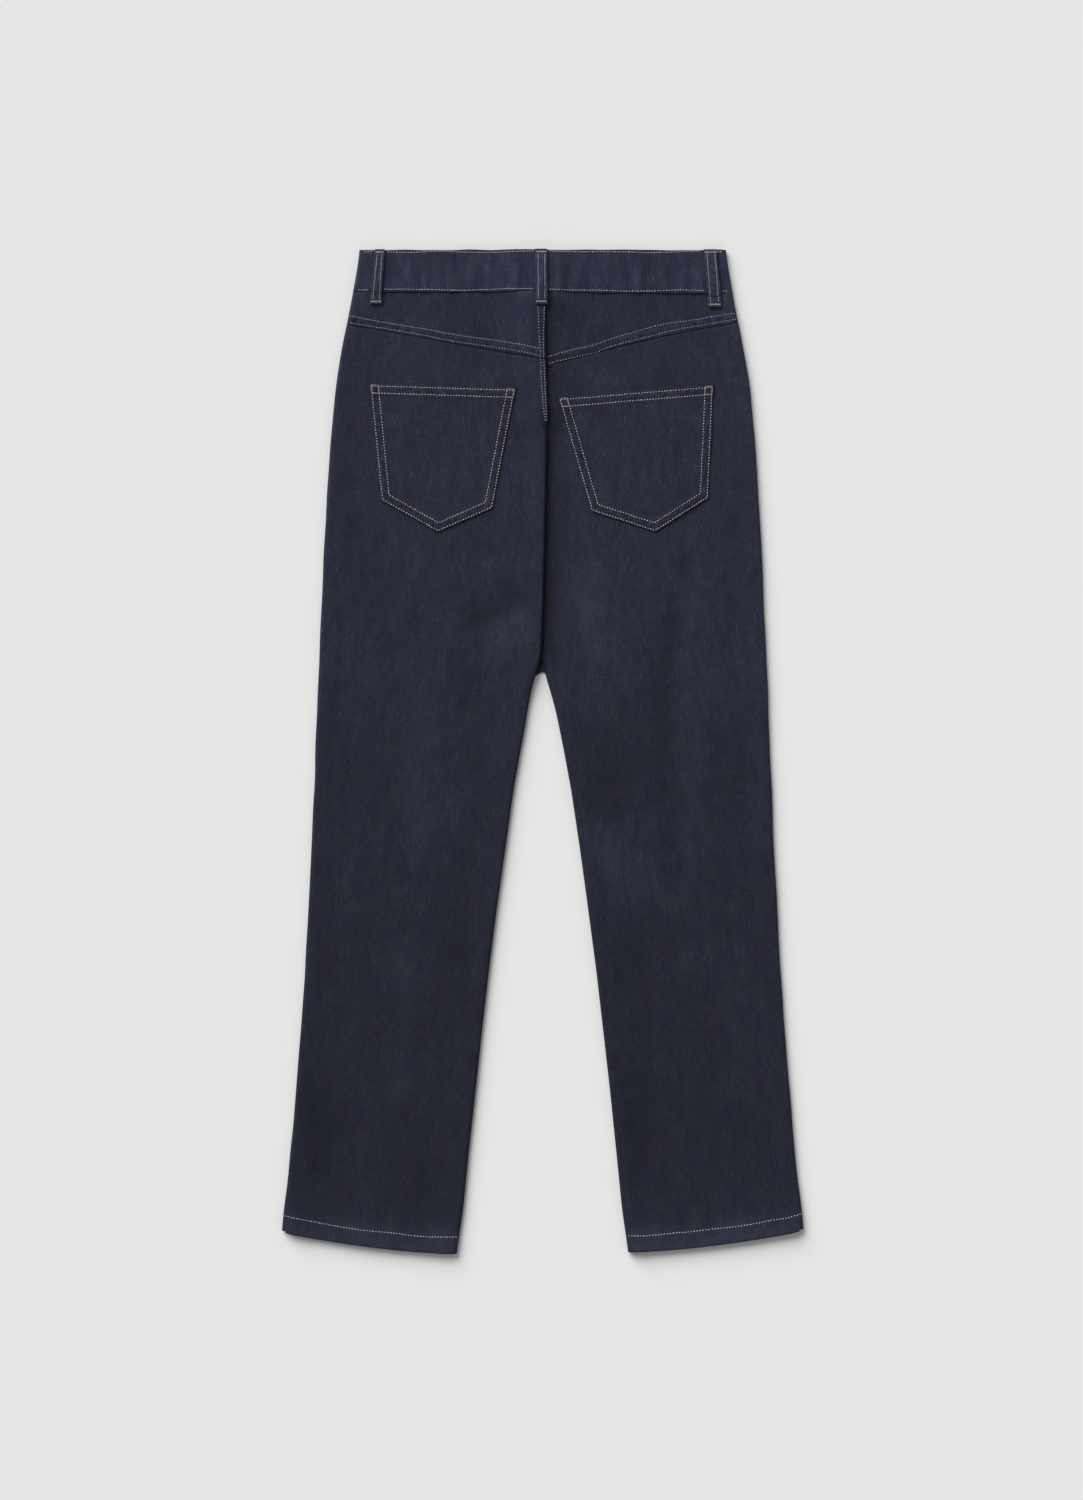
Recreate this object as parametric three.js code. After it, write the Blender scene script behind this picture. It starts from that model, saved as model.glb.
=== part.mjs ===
// Slim fit jeans lying flat, back side up: cloth panels as thin closed walls.
// Millimetres. +X across the waist, +Y from the hems to the waistband, +Z up from the surface.
// The wearer's left is at -X. The origin is in the middle of the surface that the jeans lie on.
import * as THREE from 'three'

// Driving sizes
const CLOTH = 1.2            // denim wall
const BAND = 2.0             // waistband wall, two plies
const HEM_CLOTH = 2.0        // turned-up hem wall
const LOOP_CLOTH = 1.6       // belt loop wall
const GAP = 0.3              // between pieces
const TOP_Y = 489.8          // waistband top edge
const BAND_Y = 448.7         // waistband seam
const HEM_Y = -490.2         // lowest point of the hems
const HEM_DEPTH = 15
const HEM_STEP = 1.7         // the right hem lies this much higher than the left one
const EDGE_R = 3.0           // outside radius of the side and inside-leg folds
const BAND_R = 3.2           // outside radius of the waistband's side folds
const TURN_UNDER = 8         // how far the back panels reach round to the underside
const BACK_MID = 4.6         // height of the back cloth away from its folds
const BACK_EDGE = 2 * EDGE_R
const BAND_MID = 6.2
const SEAT_R = 1.7           // outside radius of the rolled seat seam
const SEAT_FLOOR = 3.0       // underside of the rolled seat seam
const SEAT_EDGE = SEAT_FLOOR + 2 * SEAT_R
const SEAM_Z = 5.4           // back cloth at the seat seam, above the roll
const LAP_TOP = SEAT_FLOOR - GAP   // right back panel where it passes under the roll
const FRONT_DIP = 12         // the front waist lies this much lower at the centre
const FLY_LAP = 8            // the right front reaches this far under the left one
const EDGE_FADE = 24         // distance over which the cloth falls away from a fold

const DENIM = 0x2b2d3a
const DENIM_BAND = 0x303344
const BRASS = 0x8a6f4d
const TAPE = 0x23242c

// Outline of one leg: distance of its outer and inner fold from the centre line
const outline = [
  { y: 490, outer: 178.0, left: 0, right: 0 },
  { y: 470, outer: 181.6, left: 0, right: 0 },
  { y: 431, outer: 188.6, left: 0, right: 0 },
  { y: 392, outer: 196.6, left: 0, right: 0 },
  { y: 353, outer: 202.6, left: 0, right: 0 },
  { y: 314, outer: 206.5, left: 0, right: 0 },
  { y: 275, outer: 209.4, left: 0, right: 0 },
  { y: 236, outer: 211.4, left: 0, right: 0 },
  { y: 197, outer: 213.8, left: 0, right: 0 },
  { y: 138, outer: 216.2, left: 0, right: 0 },
  { y: 86, outer: 218.8, left: 1.7, right: -1.2 },
  { y: 41, outer: 220.4, left: 9.5, right: 12.4 },
  { y: 2, outer: 221.9, left: 19.6, right: 20.4 },
  { y: -37, outer: 223.5, left: 27.2, right: 27.6 },
  { y: -96, outer: 226.0, left: 36.0, right: 36.4 },
  { y: -154, outer: 228.9, left: 44.6, right: 44.3 },
  { y: -213, outer: 232.3, left: 52.4, right: 52.1 },
  { y: -272, outer: 236.2, left: 59.2, right: 58.9 },
  { y: -330, outer: 241.1, left: 65.3, right: 65.5 },
  { y: -389, outer: 246.0, left: 71.9, right: 71.6 },
  { y: -447, outer: 252.8, left: 77.7, right: 77.4 },
  { y: -490, outer: 256.5, left: 84.0, right: 83.6 },
]

// Seat seam: its line at the top, the roll's edge below, how far it is rolled over (0 flat, 1 turned
// right under), the width of its turned-under tail, the height of the left fold's underside, and the
// height of the right panel's edge with its turn at the inside leg
const seat = [
  { y: 490, line: -2.0, roll: 0, tail: 0.6, floor: 3.0, under: -GAP, rightZ: 5.2, rightTurn: 0 },
  { y: 410, line: -1.0, roll: 0, tail: 0.6, floor: 3.0, under: -GAP, rightZ: 5.2, rightTurn: 0 },
  { y: 365, line: 0.6, roll: 0, tail: 0.6, floor: 3.0, under: -GAP, rightZ: 5.2, rightTurn: 0 },
  { y: 336, line: 2.6, roll: 0, tail: 0.6, floor: 3.0, under: -GAP, rightZ: 5.2, rightTurn: 0 },
  { y: 322, line: 4.0, roll: 0, tail: 0.6, floor: 3.0, under: -GAP, rightZ: 4.6, rightTurn: 0 },
  { y: 311, line: 4.1, roll: 0.5, tail: 0.6, floor: 3.0, under: -GAP, rightZ: LAP_TOP, rightTurn: 0 },
  { y: 300, line: 4.0, roll: 1, tail: 0.6, floor: 3.0, under: 2.3, rightZ: LAP_TOP, rightTurn: 0 },
  { y: 270, line: 3.6, roll: 1, tail: 7.0, floor: 3.0, under: 8.7, rightZ: LAP_TOP, rightTurn: 0 },
  { y: 215, line: 2.4, roll: 1, tail: 11.0, floor: 3.0, under: 12.7, rightZ: LAP_TOP, rightTurn: 0 },
  { y: 145, line: 0.6, roll: 1, tail: 9.0, floor: 3.0, under: 10.7, rightZ: LAP_TOP, rightTurn: 0 },
  { y: 105, line: -0.9, roll: 1, tail: 4.0, floor: 3.0, under: 5.7, rightZ: LAP_TOP, rightTurn: 0 },
  { y: 95, line: -1.3, roll: 1, tail: 1.5, floor: 3.0, under: 3.2, rightZ: LAP_TOP, rightTurn: 0 },
  { y: 86, line: -1.7, roll: 1, tail: 0.6, floor: 3.0, under: -0.5, rightZ: LAP_TOP, rightTurn: 0 },
  { y: 76, line: 0, roll: 1, tail: 0.6, floor: 2.5, under: 0, rightZ: 3.6, rightTurn: 0.3 },
  { y: 65, line: 0, roll: 1, tail: 0.6, floor: 1.5, under: 0, rightZ: 4.6, rightTurn: 0.55 },
  { y: 55, line: 0, roll: 1, tail: 0.6, floor: 0.6, under: 0, rightZ: 5.4, rightTurn: 0.8 },
  { y: 45, line: 0, roll: 1, tail: 0.8, floor: 0, under: 0, rightZ: 6.0, rightTurn: 1 },
  { y: 30, line: 0, roll: 1, tail: 4.0, floor: 0, under: 0, rightZ: 6.0, rightTurn: 1 },
  { y: 10, line: 0, roll: 1, tail: 8.0, floor: 0, under: 0, rightZ: 6.0, rightTurn: 1 },
]
const CROTCH_Y = 86          // above it the roll follows seat.line, below it the leg outlines

// Soft ridges (height above zero) and troughs in the back cloth, each along a straight stretch
const folds = [
  { x1: -8, y1: 160, x2: -64, y2: 127, width: 13, height: -0.9 },
  { x1: -64, y1: 127, x2: -78, y2: 52, width: 14, height: -0.7 },
  { x1: -22, y1: 118, x2: -46, y2: 92, width: 15, height: 0.9 },
  { x1: -110, y1: 30, x2: -127, y2: -125, width: 17, height: 0.7 },
  { x1: -127, y1: -190, x2: -139, y2: -335, width: 15, height: 0.7 },
  { x1: -139, y1: -335, x2: -176, y2: -388, width: 15, height: 0.6 },
  { x1: -76, y1: -110, x2: -82, y2: -200, width: 18, height: -0.7 },
  { x1: -212, y1: -345, x2: -220, y2: -430, width: 18, height: -0.7 },
  { x1: 42, y1: 150, x2: 72, y2: 72, width: 22, height: 0.8 },
  { x1: 48, y1: 8, x2: 72, y2: -60, width: 18, height: -0.8 },
  { x1: 62, y1: -74, x2: 86, y2: -140, width: 17, height: 0.8 },
  { x1: 86, y1: -175, x2: 108, y2: -420, width: 19, height: -0.8 },
  { x1: 137, y1: 180, x2: 117, y2: 50, width: 13, height: -0.8 },
  { x1: 117, y1: 50, x2: 124, y2: -114, width: 13, height: -0.8 },
  { x1: 152, y1: 160, x2: 150, y2: -100, width: 17, height: 0.5 },
]

// What lies under the front cloth and lifts it, and what lies between front and back
const LOOP_FRONT_X = 77
const BUTTON = { x: 0, y: 455, radius: 8.5, height: 2.7 }
const frontRises = [
  { x: 0, y: 455, halfX: 12, halfY: 12, fade: 60, height: BUTTON.height + GAP },
  { x: -LOOP_FRONT_X, y: 453, halfX: 8, halfY: 28, fade: 40, height: LOOP_CLOTH + GAP },
  { x: LOOP_FRONT_X, y: 453, halfX: 8, halfY: 28, fade: 40, height: LOOP_CLOTH + GAP },
]
const innerRises = [
  { x: 0, y: 468, halfX: 26, halfY: 22, fade: 45, height: 1.4 },
  { x: 0, y: 416, halfX: 8, halfY: 20, fade: 45, height: 2.5 },
  { x: -2, y: 385, halfX: 14, halfY: 50, fade: 28, height: 1.4 },
]

// Back pockets: corners as seen from above
const pockets = {
  left: {
    topOut: [-169.1, 359.4], topIn: [-25.9, 355.0], lowIn: [-48.6, 237.4],
    point: [-102.2, 214.0], lowOut: [-157.9, 245.2],
  },
  right: {
    topOut: [167.0, 358.3], topIn: [14.9, 345.6], lowIn: [47.1, 234.8],
    point: [109.8, 214.1], lowOut: [162.1, 247.4],
  },
}

// Belt loops on the back: the middle of their ends, and their width there
const loops = [
  { name: 'loop_back', x1: -1.2, x2: -1.2, width1: 11.7, width2: 11.7, low: 435.6 },
  { name: 'loop_side_left', x1: -158.7, x2: -163.0, width1: 9.6, width2: 11.6, low: 436.6 },
  { name: 'loop_side_right', x1: 162.6, x2: 166.0, width1: 12.8, width2: 13.0, low: 433.8 },
]

// Front pocket mouths: quarter ellipses from the waistband seam to the side seam
const MOUTH = { inner: 95, outer: 189, depth: 74.7 }
const FACING = { top: 80, bottom: 128, depth: 91 }

// ---------------------------------------------------------------- small maths
const lerp = (a, b, t) => a + (b - a) * t
const clamp01 = t => Math.min(1, Math.max(0, t))
const smooth = t => { const c = clamp01(t); return c * c * (3 - 2 * c) }

function lookup(table, key, y) {
  if (y >= table[0].y) return table[0][key]
  for (let i = 1; i < table.length; i++) {
    const high = table[i - 1]
    const low = table[i]
    if (y >= low.y) return lerp(low[key], high[key], (y - low.y) / (high.y - low.y))
  }
  return table[table.length - 1][key]
}

function riseAt(rises, x, y) {
  let most = 0
  for (const r of rises) {
    const away = Math.hypot(Math.max(0, Math.abs(x - r.x) - r.halfX),
      Math.max(0, Math.abs(y - r.y) - r.halfY))
    most = Math.max(most, r.height * (1 - smooth(away / r.fade)))
  }
  return most
}
const frontLift = (x, y) => riseAt(frontRises, x, y)
const backLift = (x, y) => riseAt(frontRises, x, y) + riseAt(innerRises, x, y)

function foldHeight(x, y) {
  let sum = 0
  for (const f of folds) {
    const dx = f.x2 - f.x1
    const dy = f.y2 - f.y1
    const t = clamp01(((x - f.x1) * dx + (y - f.y1) * dy) / (dx * dx + dy * dy))
    const away = Math.hypot(x - f.x1 - t * dx, y - f.y1 - t * dy)
    sum += f.height * Math.exp(-((away / f.width) ** 2))
  }
  return sum
}

// ---------------------------------------------------------------- lines across the cloth
const yokeSeam = (side, a) => side < 0
  ? 388.5 + 0.178 * a
  : 380.3 + 0.3 * a - 0.00036 * a * a
const YOKE_REF = 384

// Both hems rise towards the side seams, and the right one lies a little higher
function hemLine(side, a) {
  const t = clamp01((254.5 - a) / 170)
  return HEM_Y + 20.5 * (1 - t) ** 1.6 + 3.5 * Math.exp(-t / 0.03) + (side > 0 ? HEM_STEP : 0)
}

// The front of the waist and hips hangs a little lower than the back
function dip(a, y) {
  const side = lookup(outline, 'outer', y) - EDGE_R
  return FRONT_DIP * Math.max(0, 1 - (a / side) ** 2) * smooth((y - 330) / 118)
}

// ---------------------------------------------------------------- back cloth sections
const ARC_STEPS = 5
const TOP_STATIONS = [0.04, 0.1, 0.2, 0.34, 0.5, 0.66, 0.8, 0.9, 0.96]

// Cloth that turns down from a top height by an angle, then runs on straight for a tail.
// Gives distances outward from where the turn starts, and heights
function turned(top, floor, angle, tail, radius) {
  const drop = Math.max(0.01, top - floor - tail * Math.sin(angle))
  const longest = Math.PI * radius
  const bend = Math.max(angle, 0.001)
  const arc = Math.min(longest, bend * drop / Math.max(1e-9, 1 - Math.cos(bend)))
  const r = arc / bend
  const points = []
  for (let k = 0; k <= ARC_STEPS; k++) {
    const turn = bend * k / ARC_STEPS
    points.push({ d: r * Math.sin(turn), z: top - r * (1 - Math.cos(turn)) })
  }
  const last = points[ARC_STEPS]
  points.push({ d: last.d + tail * Math.cos(bend), z: last.z - tail * Math.sin(bend) })
  const reach = bend > Math.PI / 2 ? r : points[ARC_STEPS + 1].d
  return { points, reach }
}

function innerEdge(side, y) {
  const row = key => lookup(seat, key, y)
  if (side < 0) {
    const line = y > CROTCH_Y ? -row('line') + (row('roll') === 0 ? GAP / 2 : 0)
      : lookup(outline, 'left', y)
    const floor = row('floor')
    const top = y > CROTCH_Y ? lerp(SEAT_EDGE, SEAM_Z, smooth((y - 311) / 40))
      : BACK_EDGE + (SEAT_EDGE - BACK_EDGE) * floor / SEAT_FLOOR
    const turn = turned(top, floor, Math.PI * row('roll'), row('tail'), (top - floor) / 2)
    return { at: line, top, turn }
  }
  const line = y > CROTCH_Y ? row('line') - row('under') - (row('under') < 0 ? GAP / 2 : 0)
    : lookup(outline, 'right', y)
  const angle = Math.PI * row('rightTurn')
  const tail = row('rightTurn') === 1 ? row('tail') : 0.6
  const floor = CLOTH * Math.max(0, Math.cos(angle))
  return { at: line, top: row('rightZ'), turn: turned(row('rightZ'), floor, angle, tail, EDGE_R) }
}

// One row of the back cloth from its edge under the side fold, over the top, to its inner edge.
// level gives the real y for a distance from the centre line
function backRow(side, level) {
  const yOut = level(lookup(outline, 'outer', level(200)))
  const outer = lookup(outline, 'outer', yOut)
  const nearInner = innerEdge(side, level(0)).at
  const yIn = level(nearInner)
  const inner = innerEdge(side, yIn)
  const sideTurn = turned(BACK_EDGE, 0, Math.PI, TURN_UNDER, EDGE_R)
  const row = []
  const outStart = outer - sideTurn.reach
  for (const p of [...sideTurn.points].reverse()) {
    const under = p.z < EDGE_R
    const a = outStart + p.d
    row.push({ a, y: yOut - (under ? dip(a, yOut) : 0), z: p.z })
  }
  const inStart = inner.at + inner.turn.reach
  for (const t of TOP_STATIONS) {
    const a = lerp(outStart, inStart, t)
    const y = level(a)
    const fade = smooth((outStart - a) / EDGE_FADE) * smooth((a - inStart) / EDGE_FADE)
    const z = BACK_MID
      + (BACK_EDGE - BACK_MID) * (1 - smooth((outStart - a) / EDGE_FADE))
      + (inner.top - BACK_MID) * (1 - smooth((a - inStart) / EDGE_FADE))
      + foldHeight(side * a, y) * fade
    row.push({ a, y, z: z + backLift(side * a, y) })
  }
  for (const p of inner.turn.points) {
    const a = inStart - p.d
    row.push({ a, y: yIn, z: p.z + backLift(side * a, yIn) })
  }
  return row
}

// ---------------------------------------------------------------- walls from rows
// Moves each point of a row inward across the row's own line
function inset(row, thickness, side) {
  return row.map((p, i) => {
    const before = row[Math.max(0, i - 1)]
    const after = row[Math.min(row.length - 1, i + 1)]
    const da = after.a - before.a
    const dz = after.z - before.z
    const length = Math.hypot(da, dz)
    return { a: p.a - side * dz / length * thickness, y: p.y, z: p.z + side * da / length * thickness }
  })
}

const toPoints = (rows, side) => rows.map(row => row.map(p => [side * p.a, p.y, p.z]))

// A closed wall between two grids of points of the same size
function wall(name, outer, inner, color) {
  const rows = outer.length
  const cols = outer[0].length
  const points = [...outer.flat(), ...inner.flat()]
  const faces = []
  const out = (i, j) => i * cols + j
  const inn = (i, j) => rows * cols + i * cols + j
  const quad = (a, b, c, d) => faces.push(a, b, c, a, c, d)
  for (let i = 0; i < rows - 1; i++) {
    for (let j = 0; j < cols - 1; j++) {
      quad(out(i, j), out(i, j + 1), out(i + 1, j + 1), out(i + 1, j))
      quad(inn(i, j), inn(i + 1, j), inn(i + 1, j + 1), inn(i, j + 1))
    }
  }
  for (let i = 0; i < rows - 1; i++) {
    quad(out(i, 0), out(i + 1, 0), inn(i + 1, 0), inn(i, 0))
    quad(out(i + 1, cols - 1), out(i, cols - 1), inn(i, cols - 1), inn(i + 1, cols - 1))
  }
  for (let j = 0; j < cols - 1; j++) {
    quad(out(0, j + 1), out(0, j), inn(0, j), inn(0, j + 1))
    quad(out(rows - 1, j), out(rows - 1, j + 1), inn(rows - 1, j + 1), inn(rows - 1, j))
  }
  let volume = 0
  for (let k = 0; k < faces.length; k += 3) {
    const [a, b, c] = [points[faces[k]], points[faces[k + 1]], points[faces[k + 2]]]
    volume += a[0] * (b[1] * c[2] - b[2] * c[1]) - a[1] * (b[0] * c[2] - b[2] * c[0])
      + a[2] * (b[0] * c[1] - b[1] * c[0])
  }
  if (volume < 0) faces.reverse()
  const geometry = new THREE.BufferGeometry()
  geometry.setAttribute('position', new THREE.Float32BufferAttribute(points.flat(), 3))
  geometry.setIndex(faces)
  geometry.computeVertexNormals()
  const material = new THREE.MeshStandardMaterial({ color, roughness: 0.85, metalness: 0 })
  const mesh = new THREE.Mesh(geometry, material)
  mesh.name = name
  return mesh
}

// Height of a grid's upper side at a place, from its own flat facets
function heightOn(grids, x, y) {
  let best = -Infinity
  const test = (a, b, c) => {
    const det = (b[0] - a[0]) * (c[1] - a[1]) - (c[0] - a[0]) * (b[1] - a[1])
    if (Math.abs(det) < 1e-9) return
    const u = ((x - a[0]) * (c[1] - a[1]) - (c[0] - a[0]) * (y - a[1])) / det
    const v = ((b[0] - a[0]) * (y - a[1]) - (x - a[0]) * (b[1] - a[1])) / det
    if (u < -1e-6 || v < -1e-6 || u + v > 1 + 1e-6) return
    best = Math.max(best, a[2] + u * (b[2] - a[2]) + v * (c[2] - a[2]))
  }
  for (const grid of grids) {
    for (let i = 0; i < grid.length - 1; i++) {
      for (let j = 0; j < grid[0].length - 1; j++) {
        test(grid[i][j], grid[i][j + 1], grid[i + 1][j + 1])
        test(grid[i][j], grid[i + 1][j + 1], grid[i + 1][j])
      }
    }
  }
  return best
}

// ---------------------------------------------------------------- back legs and yokes
const LEG_LEVELS = [365, 345, 336, 322, 311, 300, 270, 242, 215, 180, 145, 120, 105, 95, 86, 76,
  65, 55, 45, 30, 10, -20, -55, -90, -125, -160, -200, -240, -280, -320, -355, -390, -425]
const HEM_FADE = 70

function legLevel(side, base) {
  return a => {
    const seamShift = (yokeSeam(side, Math.abs(a)) - YOKE_REF) * smooth((base - 345) / (YOKE_REF - 345))
    const hemShift = (hemLine(side, a) - HEM_Y) * (1 - smooth((base - HEM_Y - HEM_DEPTH - 1) / HEM_FADE))
    return base + seamShift + hemShift
  }
}

const seamEdge = side => a => yokeSeam(side, Math.abs(a)) - GAP / 2

function backLeg(name, side) {
  const levels = [
    seamEdge(side),
    ...LEG_LEVELS.map(base => legLevel(side, base)),
    a => hemLine(side, a) + HEM_DEPTH + 1,
    a => hemLine(side, a) + HEM_DEPTH,
    a => hemLine(side, a),
  ]
  const rows = levels.map(level => backRow(side, level))
  const last = rows.length - 2
  const inner = rows.map((row, i) => inset(row, i < last ? CLOTH : HEM_CLOTH, 1))
  return { levels, rows, outer: toPoints(rows, side), inner: toPoints(inner, side), name }
}

function yoke(name, side) {
  const top = BAND_Y - GAP / 2
  const levels = [0, 0.25, 0.5, 0.75, 1].map(t => a =>
    lerp(top, yokeSeam(side, Math.abs(a)) + GAP / 2, t))
  const rows = levels.map(level => backRow(side, level))
  const inner = rows.map(row => inset(row, CLOTH, 1))
  return { outer: toPoints(rows, side), inner: toPoints(inner, side), name }
}

// ---------------------------------------------------------------- front panels and facings
const FRONT_STATIONS = [0, 0.25, 0.5, 0.75, 1]
const LAP_SLOPE = 12         // the lap comes down to the surface over this distance
const MOUTH_STEPS = 6
const FLY_END = 333          // the lap narrows to nothing here
const FLY_FLAT = 322         // and lies flat from here down

// Where the cloth that a back row turns under at its inner edge ends, or -Infinity where it stays
// above the front panel
function turnedReach(row, inner) {
  const low = row[0].y < CROTCH_Y + 4 ? SEAT_FLOOR - 0.1 : CLOTH + GAP / 2
  let reach = -Infinity
  for (let i = row.length - ARC_STEPS - 2; i < row.length; i++) {
    for (const p of [row[i], inner[i]]) if (p.z < low) reach = Math.max(reach, p.a)
  }
  return reach
}

function frontPanel(name, side, back) {
  const rows = []
  const addRow = (level, innerA, outerA, lap) => {
    const lapEnd = Math.max(innerA, 0) + 1
    const stations = [innerA, lapEnd, ...FRONT_STATIONS.map(t => lerp(lapEnd + LAP_SLOPE, outerA, t))]
    rows.push(stations.map(a => {
      const lapped = lap * (1 - smooth((a - 1) / LAP_SLOPE))
      const y = level(a) - dip(Math.abs(a), level(a))
      return { a, y, z: frontLift(side * a, y) + lapped }
    }))
  }
  const hipEdge = y => lookup(outline, 'outer', y) - EDGE_R - TURN_UNDER - 2 * GAP
  // The right front reaches under the left one down to the end of the fly
  const lapAt = y => side > 0 ? (CLOTH + GAP) * smooth((y - FLY_FLAT) / (FLY_END - FLY_FLAT)) : 0
  const centre = y => side > 0 ? lerp(GAP / 2, -FLY_LAP, smooth((y - FLY_END) / 12)) : GAP / 2
  for (let k = 0; k <= MOUTH_STEPS; k++) {
    const turn = Math.PI / 2 * k / MOUTH_STEPS
    const y = BAND_Y - GAP / 2 - MOUTH.depth * Math.sin(turn)
    const a = Math.min(hipEdge(y), MOUTH.outer - (MOUTH.outer - MOUTH.inner) * Math.cos(turn))
    addRow(() => y, centre(y), a, lapAt(y))
  }
  for (const y of [356, 345, FLY_END, FLY_FLAT]) addRow(() => y, centre(y), hipEdge(y), lapAt(y))
  back.rows.forEach((row, i) => {
    if (row[0].y > FLY_FLAT - 5) return
    const fold = turnedReach(row, inset(row, CLOTH, 1))
    addRow(back.levels[i], Math.max(GAP / 2, fold + GAP), row[0].a - GAP, 0)
  })
  const upper = rows.map((row, i) => row.map(p =>
    ({ a: p.a, y: p.y, z: p.z + (i < rows.length - 2 ? CLOTH : HEM_CLOTH) })))
  return wall(name, toPoints(rows, side), toPoints(upper, side), DENIM)
}

function facing(name, side) {
  const rows = []
  for (const t of [0, 0.25, 0.5, 0.75, 1]) {
    const y = BAND_Y - GAP / 2 - FACING.depth * t
    const inner = lerp(FACING.top, FACING.bottom, t)
    const outer = lookup(outline, 'outer', y) - EDGE_R - 2
    rows.push([0, 0.17, 0.34, 0.5, 0.67, 0.84, 1].map(u => {
      const a = lerp(inner, outer, u)
      const yy = y - dip(a, y)
      return { a, y: yy, z: frontLift(side * a, yy) + CLOTH + GAP }
    }))
  }
  const upper = rows.map(row => row.map(p => ({ ...p, z: p.z + CLOTH })))
  return wall(name, toPoints(rows, side), toPoints(upper, side), DENIM)
}

// ---------------------------------------------------------------- waistband
const BAND_END = 20          // both ends reach this far past the centre
const BAND_ROWS = 5
const FRONT_STEPS = 16
const BACK_STEPS = 30

function waistband() {
  const rows = []
  for (let r = 0; r < BAND_ROWS; r++) {
    const y = lerp(BAND_Y + GAP / 2, TOP_Y, r / (BAND_ROWS - 1))
    const side = lookup(outline, 'outer', y) - BAND_R
    const row = []
    const front = (x, lap) => {
      const yy = y - FRONT_DIP * Math.max(0, 1 - (x / side) ** 2)
      row.push({ a: x, y: yy, z: frontLift(x, yy) + lap })
    }
    const fold = sign => {
      for (let k = 1; k < ARC_STEPS; k++) {
        const turn = Math.PI * (sign < 0 ? k : ARC_STEPS - k) / ARC_STEPS
        row.push({ a: sign * (side + BAND_R * Math.sin(turn)), y, z: BAND_R * (1 - Math.cos(turn)) })
      }
    }
    for (let k = 0; k <= FRONT_STEPS; k++) front(lerp(BAND_END, -side, k / FRONT_STEPS), 0)
    fold(-1)
    for (let k = 0; k <= BACK_STEPS; k++) {
      const x = lerp(-side, side, k / BACK_STEPS)
      const edge = (2 * BAND_R - BAND_MID) * (1 - smooth((side - Math.abs(x)) / EDGE_FADE))
      row.push({ a: x, y, z: BAND_MID + edge + backLift(x, y) })
    }
    fold(1)
    for (let k = 0; k <= FRONT_STEPS + 2; k++) {
      const x = lerp(side, -BAND_END, k / (FRONT_STEPS + 2))
      front(x, (BAND + GAP) * smooth((48 - x) / 24))
    }
    rows.push(row)
  }
  const inner = rows.map(row => inset(row, BAND, -1))
  return { outer: toPoints(rows, 1), inner: toPoints(inner, 1) }
}

// ---------------------------------------------------------------- pockets and loops
const POCKET_COLS = 10
const POCKET_ROWS = 9
const POCKET_HEM = 13
const POCKET_GAP = 0.4

function pocket(name, corners, panel) {
  const { topOut, topIn, lowIn, point, lowOut } = corners
  const mix = (p, q, t) => [lerp(p[0], q[0], t), lerp(p[1], q[1], t)]
  const middle = (point[0] - lowOut[0]) / (lowIn[0] - lowOut[0])
  const across = []
  for (let j = 0; j <= POCKET_COLS; j++) {
    const half = POCKET_COLS / 2
    across.push(j <= half ? middle * j / half : lerp(middle, 1, (j - half) / half))
  }
  const outer = []
  const inner = []
  for (let i = 0; i <= POCKET_ROWS; i++) {
    const v = i / POCKET_ROWS
    const hem = v * (topOut[1] - lowOut[1]) < POCKET_HEM ? 0.4 : 0
    const rowOut = []
    const rowIn = []
    for (const u of across) {
      const top = mix(topOut, topIn, u)
      const low = u <= middle ? mix(lowOut, point, u / middle) : mix(point, lowIn, (u - middle) / (1 - middle))
      const [x, y] = mix(top, low, v)
      const z = heightOn([panel.outer], x, y) + POCKET_GAP
      rowIn.push([x, y, z])
      rowOut.push([x, y, z + CLOTH + hem])
    }
    outer.push(rowOut)
    inner.push(rowIn)
  }
  return wall(name, outer, inner, DENIM)
}

const LOOP_ROWS = 12
const LOOP_HIGH = 1.5        // a loop stands this far off the waistband at its middle

function backLoop(spec, grids) {
  const inner = []
  const outer = []
  const overhang = 0.4
  for (let i = 0; i <= LOOP_ROWS; i++) {
    const t = i / LOOP_ROWS
    const y = lerp(TOP_Y + overhang, spec.low, t)
    const x = lerp(spec.x1, spec.x2, t)
    const half = lerp(spec.width1, spec.width2, t) / 2
    const samples = []
    for (const dx of [-half, 0, half]) {
      for (const dy of [-4, -2, 0, 2, 4]) samples.push(heightOn(grids, x + dx, Math.min(TOP_Y, y + dy)))
    }
    const bow = Math.sin(Math.PI * clamp01((TOP_Y - y) / (TOP_Y - BAND_Y))) * (LOOP_HIGH - GAP)
    const z = Math.max(...samples) + GAP + 0.05 + Math.max(0, bow)
    inner.push([-half, 0, half].map(dx => [x + dx, y, z]))
    outer.push([-half, 0, half].map(dx => [x + dx, y, z + LOOP_CLOTH]))
  }
  return wall(spec.name, outer, inner, DENIM_BAND)
}

function frontLoop(name, side) {
  const x = side * LOOP_FRONT_X
  const half = 5.5
  const drop = FRONT_DIP * (1 - (LOOP_FRONT_X / 180) ** 2)
  const lower = []
  const upper = []
  for (const y of [TOP_Y - drop, BAND_Y - drop - 12]) {
    lower.push([-half, half].map(dx => [x + dx, y, 0]))
    upper.push([-half, half].map(dx => [x + dx, y, LOOP_CLOTH]))
  }
  return wall(name, lower, upper, DENIM_BAND)
}

// ---------------------------------------------------------------- fly zip and button
const ZIP = { x: -2, top: 433, bottom: 337, half: 12, coil: 3, tape: 0.6, coilHeight: 0.6 }
const ZIP_Z = 2 * (CLOTH + GAP)

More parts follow.
